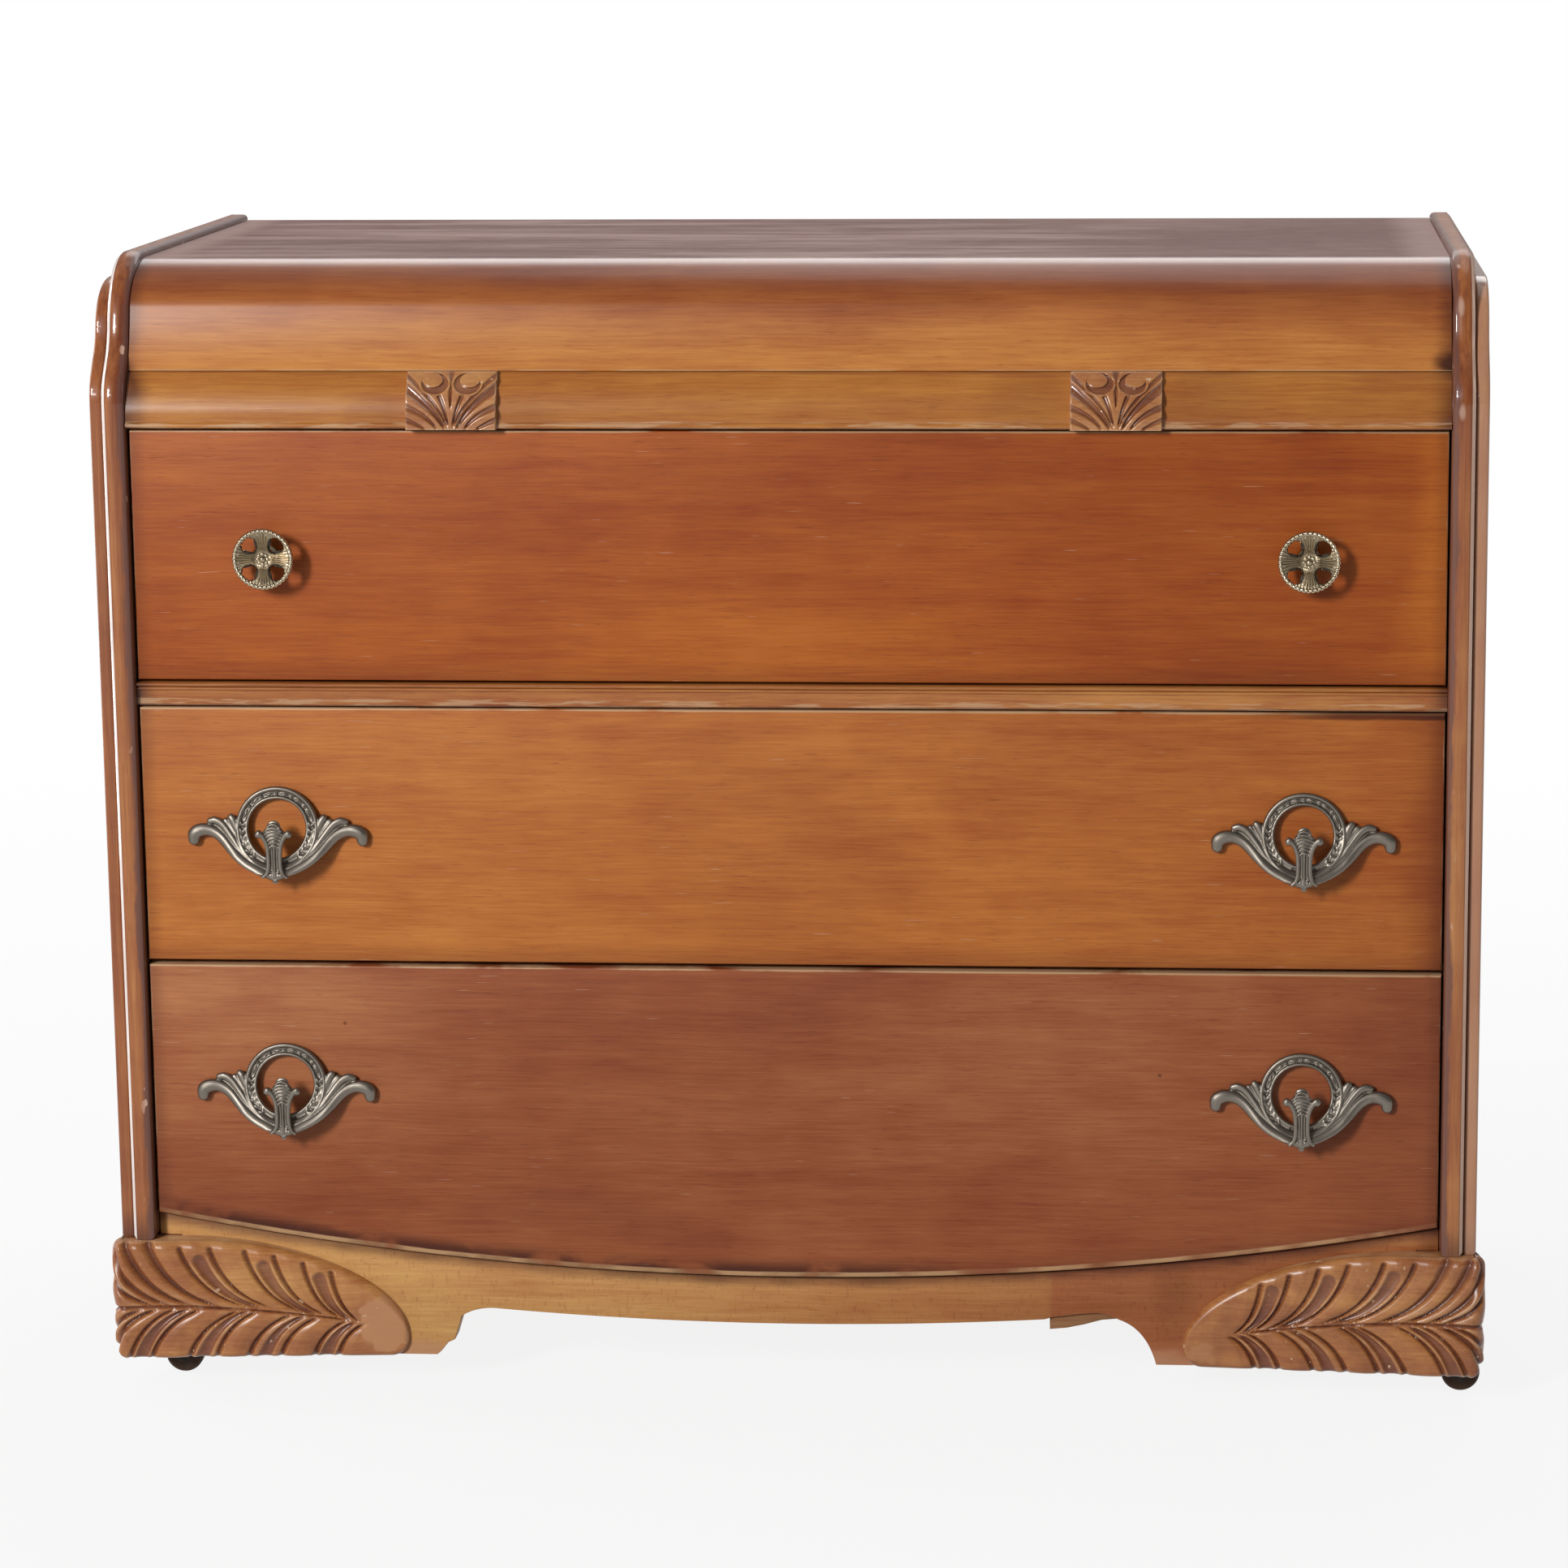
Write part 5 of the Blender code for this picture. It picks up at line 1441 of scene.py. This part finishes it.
def fused(bm, voxel):
    """One closed skin over overlapping shapes, as a casting has."""
    mesh = settled(bm, "casting")
    obj = add_object("casting", mesh)
    remesh = obj.modifiers.new("skin", "REMESH")
    remesh.mode = "VOXEL"
    remesh.voxel_size = voxel
    soften = obj.modifiers.new("soften", "SMOOTH")
    soften.factor = 0.5
    soften.iterations = 3
    bpy.context.view_layer.update()
    graph = bpy.context.evaluated_depsgraph_get()
    made = bpy.data.meshes.new_from_object(obj.evaluated_get(graph))
    bpy.data.objects.remove(obj)
    bpy.data.meshes.remove(mesh)
    return made


def pulls(finish):
    bm = pull_ring()
    for points, depth in LOBES:
        for side in (-1, 1):
            bar(bm, [(side * x, z, r) for x, z, r in points], depth)
    stand_off(bm, True)
    leaf = pull_leaf()
    stand_off(leaf, False)
    put(bm, leaf)
    casting = fused(bm, PULL_VOXEL)
    mark_relief(casting, *PULL_RELIEF)
    for row in ROWS[1:]:
        for side, _ in SIDES:
            node = f"{side}_{row}_pull"
            low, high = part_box(node)
            mesh = casting.copy()
            mesh.transform(Matrix.Translation(((low.x + high.x) / 2, FRONT_Y, high.z - PULL_TOP)))
            show(f"{node}_finished", mesh, finish, f"{row}_drawer", (node,), CAST_CREASE)


# Knobs: the disc in millimetres from the knob's middle
HOLE_CIRCLE = 15.2
HOLE_SIZE = 6.6
DISC_EDGE = 22.6
DISC_HEIGHT = 18.4
QUARTER_GRID = (144, 22)
ARM_HALF = 0.8
ARM_FLARE = 0.32
ARM_RIBS = 3.0
RIB_START = 4.5
RIB_RAMP = 4.0
CUP_RISE = 1.3
CUP_START = 6.0
CUP_RUN = 16.0
# Knobs: wall, rope and petals in metres, profiles as (radius, height)
DISC_WALL = 0.0024
ROPE_CIRCLE = 0.0229
ROPE_HEIGHT = 0.0192
ROPE_RADII = (0.0021, 0.0024)
ROPE_STRANDS = 40
ROPE_SIZE = 0.90
ROPE_SWELL = 0.17
ROPE_SLANT = 1.6
KNOB_STEM = (
    (0.0, 0.0), (0.0090, 0.0), (0.0090, 0.0016), (0.0062, 0.0038), (0.0052, 0.0065), (0.0052, 0.0130),
    (0.0056, 0.0163), (0.0, 0.0175),
)
KNOB_HUB = ((0.0, 0.0175), (0.0046, 0.0180), (0.0046, 0.0190))
HUB_DOME = 0.0026
PETALS = 8
PETAL_SPOT = (0.0041, 0.0, 0.0193)
PETAL_RADII = (0.0017, 0.0013, 0.0011)


def knob_face_height(x, y):
    """Front of the knob's disc: four ribbed arms that flare to the rim and a low hub."""
    radius = np.hypot(x, y)
    angle = np.arctan2(y, x)
    off = (angle + pi / 4) % (pi / 2) - pi / 4
    lateral = radius * np.sin(off)
    half = ARM_HALF + ARM_FLARE * radius
    ribs = np.abs(np.cos(pi * ARM_RIBS * lateral / half))
    shape = np.clip((radius - RIB_START) / RIB_RAMP, 0, 1)
    return DISC_HEIGHT + shape * ribs + CUP_RISE * np.clip((radius - CUP_START) / CUP_RUN, 0, 1) ** 2


def pierced_disc():
    """Disc with four holes: a quarter is drawn between its hole and its walls, then repeated."""
    bm = bmesh.new()
    bmesh.ops.create_grid(bm, x_segments=QUARTER_GRID[0], y_segments=QUARTER_GRID[1], size=1.0)
    middle = np.array((HOLE_CIRCLE, HOLE_CIRCLE)) / np.sqrt(2)
    for vert in bm.verts:
        turn = (vert.co.x + 1) * pi + pi / 4
        share = vert.co.y / 2 + 0.5
        aim = np.array((cos(turn), sin(turn)))
        lobe = HOLE_SIZE * (1 - 0.04 * cos(3 * (turn - pi / 4)))
        walls = [-middle[k] / aim[k] for k in (0, 1) if aim[k] < -1e-9]
        along = aim @ middle
        walls.append(-along + np.sqrt(along ** 2 - middle @ middle + DISC_EDGE ** 2))
        spot = middle + aim * (lobe + (min(walls) - lobe) * share)
        vert.co = (*(spot / 1000), 0.0)
    everything = bm.verts[:] + bm.edges[:] + bm.faces[:]
    bmesh.ops.spin(bm, geom=everything, cent=(0, 0, 0), axis=(0, 0, 1), dvec=(0, 0, 0),
                   angle=2 * pi * 3 / 4, steps=3, use_merge=False, use_duplicate=True)
    bmesh.ops.remove_doubles(bm, verts=bm.verts, dist=2e-5)
    for vert in bm.verts:
        vert.co.z = float(knob_face_height(vert.co.x * 1000, vert.co.y * 1000)) / 1000
    bmesh.ops.recalc_face_normals(bm, faces=bm.faces)
    if sum(face.normal.z for face in bm.faces) < 0:
        bmesh.ops.reverse_faces(bm, faces=bm.faces)
    bmesh.ops.solidify(bm, geom=bm.faces[:], thickness=DISC_WALL)
    return bm


def roped_rim():
    """Ring whose section swells and shrinks along slanting strands."""
    section = arc((0, 0), ROPE_RADII, 0, 345, 15)
    bm = turned([(ROPE_CIRCLE + r, ROPE_HEIGHT + z) for r, z in section], 320)
    for vert in bm.verts:
        turn = np.arctan2(vert.co.y, vert.co.x)
        ring = Vector((cos(turn), sin(turn), 0.0)) * ROPE_CIRCLE + Vector((0, 0, ROPE_HEIGHT))
        away = vert.co - ring
        lean = np.arctan2(away.z, away.xy.dot(ring.xy.normalized()))
        vert.co = ring + away * (ROPE_SIZE + ROPE_SWELL * cos(ROPE_STRANDS * turn + ROPE_SLANT * lean))
    return bm


def knob_mesh():
    """A pierced knob with a roped rim, its axis along Z and its back at z = 0."""
    bm = pierced_disc()
    put(bm, roped_rim())
    put(bm, turned(KNOB_STEM, 40))
    dome = arc((0.0, ROPE_HEIGHT), (HUB_DOME, HUB_DOME), 0, 90, 8)
    put(bm, turned([*KNOB_HUB, *dome], 40))
    for i in range(PETALS):
        place = Matrix.Rotation(2 * pi * i / PETALS, 4, "Z") @ Matrix.Translation(PETAL_SPOT)
        size = Matrix.Diagonal((*PETAL_RADII, 1.0))
        bmesh.ops.create_icosphere(bm, subdivisions=2, radius=1.0, matrix=place @ size)
    return bm


def knobs(finish):
    mesh = settled(knob_mesh(), "knob")
    mark_relief(mesh, *KNOB_RELIEF)
    for side, _ in SIDES:
        node = f"{side}_knob"
        low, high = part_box(node)
        place = Matrix.Translation(((low.x + high.x) / 2, high.y, (low.z + high.z) / 2))
        made = mesh.copy()
        made.transform(place @ Matrix.Rotation(pi / 2, 4, "X"))
        show(f"{node}_finished", made, finish, "upper_drawer", (node,), CARVED_CREASE)


# Casters
def caster_wheel():
    """Wheel with dished faces and a bore, its axis along Z."""
    half, edge = WHEEL_WIDTH / 2, WHEEL_EDGE
    dish = half - DISH_DEPTH
    profile = [(WHEEL_BORE, -half), (HUB_RADII[0], -half), (HUB_RADII[1], -dish), (DISH_RADIUS, -dish)]
    profile += arc((WHEEL_RADIUS - edge, -half + edge), (edge, edge), -90, 0, 6)
    profile += arc((WHEEL_RADIUS - edge, half - edge), (edge, edge), 0, 90, 6)
    profile += [(DISH_RADIUS, dish), (HUB_RADII[1], dish), (HUB_RADII[0], half), (WHEEL_BORE, half)]
    return turned(profile, 48)


def caster_horn(top):
    """Two cheeks from a crown plate to the axle, and a stem up to a height, about the stem's axis."""
    inner = WHEEL_WIDTH / 2 + HORN_GAP
    outer = inner + HORN_PLATE
    crown_low = 2 * WHEEL_RADIUS + HORN_GAP
    crown_high = crown_low + CROWN_PLATE
    cheek = [(-HORN_HALF, crown_high - CHEEK_LAP), (HORN_HALF, crown_high - CHEEK_LAP)]
    cheek += arc((TRAIL, WHEEL_RADIUS), (CHEEK_END, CHEEK_END), 25, -155, 16)
    cheek.append((-HORN_HALF, crown_low - CHEEK_HEEL))
    bm = bmesh.new()
    for side in (-1, 1):
        spread = sorted((side * inner, side * outer))
        plate = prism(cheek, lambda x, z, y: (x, y, z), *spread)
        round_off(plate, rim_of(plate, 1, *spread), CHEEK_ROUND, 2)
        put(bm, plate)
    crown = block((-HORN_HALF, -outer, crown_low), (HORN_NOSE, outer, crown_high))
    round_off(crown, crown.edges[:], CROWN_ROUND, 2)
    put(bm, crown)
    root = crown_high - STEM_SUNK
    stem = [(0.0, root), (STEM_RADIUS, root), (STEM_RADIUS, top - STEM_TAPER), (STEM_TIP, top), (0.0, top)]
    put(bm, turned(stem, 32))
    return bm


def axle_pin(half):
    """Pin with a rounded head at each end, its axis along Z."""
    head, edge = half - PIN_HEAD_SIZE, half - PIN_HEAD_EDGE
    upper = [(PIN_RADIUS, head), (PIN_HEAD[0], head), (PIN_HEAD[1], edge), (PIN_HEAD[0], half), (0.0, half)]
    lower = [(radius, -height) for radius, height in upper[::-1]]
    return turned(lower + upper, 32)


def casters(iron, wood):
    for side, _ in SIDES:
        for place in PLACES:
            name = f"{side}_{place}_caster"
            low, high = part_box(f"{name}_wheel")
            axle = Matrix.Translation((low + high) / 2) @ Matrix.Rotation(pi / 2, 4, "X")
            stem = Matrix.Translation(((low.x + high.x) / 2 - TRAIL, (low.y + high.y) / 2, 0.0))
            length = (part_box(f"{name}_axle")[1].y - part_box(f"{name}_axle")[0].y) / 2
            wheel, horn, pin = bmesh.new(), bmesh.new(), bmesh.new()
            put(wheel, caster_wheel(), axle)
            finished(f"{name}_wheel", wheel, wood, f"{name}_roller")
            put(horn, caster_horn(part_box(f"{name}_horn")[1].z), stem)
            finished(f"{name}_horn", horn, iron, f"{name}_fork")
            put(pin, axle_pin(length), axle)
            finished(f"{name}_axle", pin, iron, f"{name}_fork")


def dress_inside():
    """Bare wood for the solids that stay: drawer boxes, runners, divider and back."""
    sides = bare_wood("bare_sides", colour(0.62, 0.43, 0.24), colour(0.40, 0.24, 0.115), "Y", 3.0)
    backs = bare_wood("bare_backs", colour(0.62, 0.43, 0.24), colour(0.42, 0.26, 0.125), "X", 5.0)
    panel = bare_wood("back_plywood", colour(0.46, 0.29, 0.155), colour(0.27, 0.15, 0.072), "Z", 9.0)
    bottoms = bare_wood("bottom_plywood", colour(0.56, 0.39, 0.225), colour(0.36, 0.22, 0.11), "X", 13.0)
    for name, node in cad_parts.items():
        if node.hide_render:
            continue
        if name == "back_panel":
            finish = panel
        elif name.endswith("_bottom"):
            finish = bottoms
        elif name.endswith("_back") or name == "lower_divider":
            finish = backs
        else:
            finish = sides
        node.data.materials.clear()
        node.data.materials.append(finish)


# Stage: the camera fitted to the photograph in metres, degrees and millimetres of lens
CAMERA_SPOT = (0.3588, -3.9526, 1.2430)
CAMERA_YAW = 3.993
CAMERA_PITCH = 10.998
CAMERA_ROLL = -0.399
LENS = 107.75
SENSOR = 36.0
SHIFT = -0.08
FAR_CLIP = 60.0
FLOOR_HALF = 30.0
# Lamps: name, place, the point it looks at, width and height, watts
LAMPS = (
    ("key", (-3.75, -6.20, 3.30), (0.0, -0.2, 0.5), (1.0, 1.9), 455.0),
    ("top fill", (0.4, 0.6, 3.0), (0.0, 0.0, 0.6), (2.0, 1.2), 8.0),
    ("front panel", (-2.5, -5.6, 2.5), (-0.2, -0.2, 0.7), (1.5, 0.5), 39.0),
    ("back strip", (0.2, 3.0, 2.9), (0.0, -0.1, 0.9), (3.4, 1.5), 50.0),
    ("left strip", (-2.6, 0.35, 0.9), (-0.55, -0.2, 0.6), (0.35, 2.2), 24.0),
    ("right strip", (2.6, -0.15, 0.9), (0.55, -0.2, 0.6), (0.35, 2.2), 7.0),
)


def camera():
    data = bpy.data.cameras.new("camera")
    data.lens = LENS
    data.sensor_width = SENSOR
    data.shift_x = SHIFT
    data.clip_end = FAR_CLIP
    obj = add_object("camera", data)
    yaw = Matrix.Rotation(radians(CAMERA_YAW), 4, "Z")
    pitch = Matrix.Rotation(pi / 2 - radians(CAMERA_PITCH), 4, "X")
    turn = yaw @ pitch @ Matrix.Rotation(radians(CAMERA_ROLL), 4, "Z")
    obj.matrix_world = Matrix.Translation(CAMERA_SPOT) @ turn
    bpy.context.scene.camera = obj


def lamp(name, spot, aim, size, power):
    data = bpy.data.lights.new(name, "AREA")
    data.shape = "RECTANGLE"
    data.size, data.size_y = size
    data.energy = power
    obj = add_object(name, data)
    way = Vector(aim) - Vector(spot)
    obj.matrix_world = Matrix.Translation(spot) @ way.to_track_quat("-Z", "Y").to_matrix().to_4x4()


def floor():
    """A pale floor that the eye and shiny pieces see nearly white, with a soft shadow."""
    bm = bmesh.new()
    bmesh.ops.create_grid(bm, x_segments=1, y_segments=1, size=FLOOR_HALF)
    mesh = settled(bm, "floor")
    made = bpy.data.materials.new("pale_floor")
    made.use_nodes = True
    tree = made.node_tree
    tree.nodes.remove(tree.nodes["Principled BSDF"])
    path = tree.nodes.new("ShaderNodeLightPath")
    seen = Shade(path.outputs["Is Camera Ray"]).greater(Shade(path.outputs["Is Glossy Ray"]))
    place = Shade(tree.nodes.new("ShaderNodeTexCoord").outputs["Object"])
    far = place.axis("Y").step(-0.6, 3.0)
    pale = seen.between(colour(0.45, 0.45, 0.45), colour(0.90, 0.90, 0.90))
    white = far.between(colour(0.945, 0.945, 0.945), colour(1.0, 1.0, 1.0))
    matt = place.node("BsdfDiffuse", {}, {"Color": pale})
    glow = place.node("Emission", {}, {"Color": white})
    mixed = place.node("MixShader", {}, {0: seen * (0.91 + far * 0.09), 1: matt, 2: glow})
    tree.links.new(mixed.socket, tree.nodes["Material Output"].inputs["Surface"])
    mesh.materials.append(made)
    obj = add_object("floor", mesh)


def surroundings():
    """White all round for the eye; for light, a white backdrop behind and a dimmer room in front."""
    world = bpy.data.worlds.new("studio")
    bpy.context.scene.world = world
    world.use_nodes = True
    tree = world.node_tree
    path = tree.nodes.new("ShaderNodeLightPath")
    seen = Shade(path.outputs["Is Camera Ray"])
    way = Shade(tree.nodes.new("ShaderNodeTexCoord").outputs["Generated"])
    behind = way.axis("Y").step(-0.55, 0.35)
    above = way.axis("Z").step(0.25, 0.95)
    strength = 0.15 + behind * 0.22 + above * 0.08
    background = tree.nodes["Background"]
    background.inputs["Color"].default_value = colour(1.0, 1.0, 1.0)
    tree.links.new(seen.greater(strength).socket, background.inputs["Strength"])


def build():
    case = case_finishes()
    both_ends(case)
    rolled_top(top_finish())
    mouldings(case)
    apron(case)
    carved_blocks(case["block"])
    for side, sign in SIDES:
        carved_foot(side, sign, case["foot"])
    legs(case["leg"])
    drawer_fronts(fronts_finishes())
    brass = cast_metal("aged_brass", colour(0.45, 0.370, 0.260), colour(0.27, 0.215, 0.140),
                       colour(0.048, 0.040, 0.030), 0.34, (-0.40, 0.70), (-0.30, -1.3))
    bronze = cast_metal("dark_bronze", colour(0.35, 0.31, 0.26), colour(0.200, 0.175, 0.147),
                        colour(0.064, 0.054, 0.047), 0.44, (0.10, 1.3), (-0.20, -1.6))
    iron = iron_finish()
    knobs(brass)
    pulls(bronze)
    screws(iron)
    # The wheels' near-black stain is dark wood darkened further as painted shade under the feet.
    casters(iron, lacquer("wheel_stain_and_painted_shade", (0.055, 0.024, 0.012), "Z", 51.0, contrast=1.2, roughness=0.5))
    dress_inside()


build()
camera()
floor()
surroundings()
for settings in LAMPS:
    lamp(*settings)
bpy.context.scene.view_settings.view_transform = "Standard"
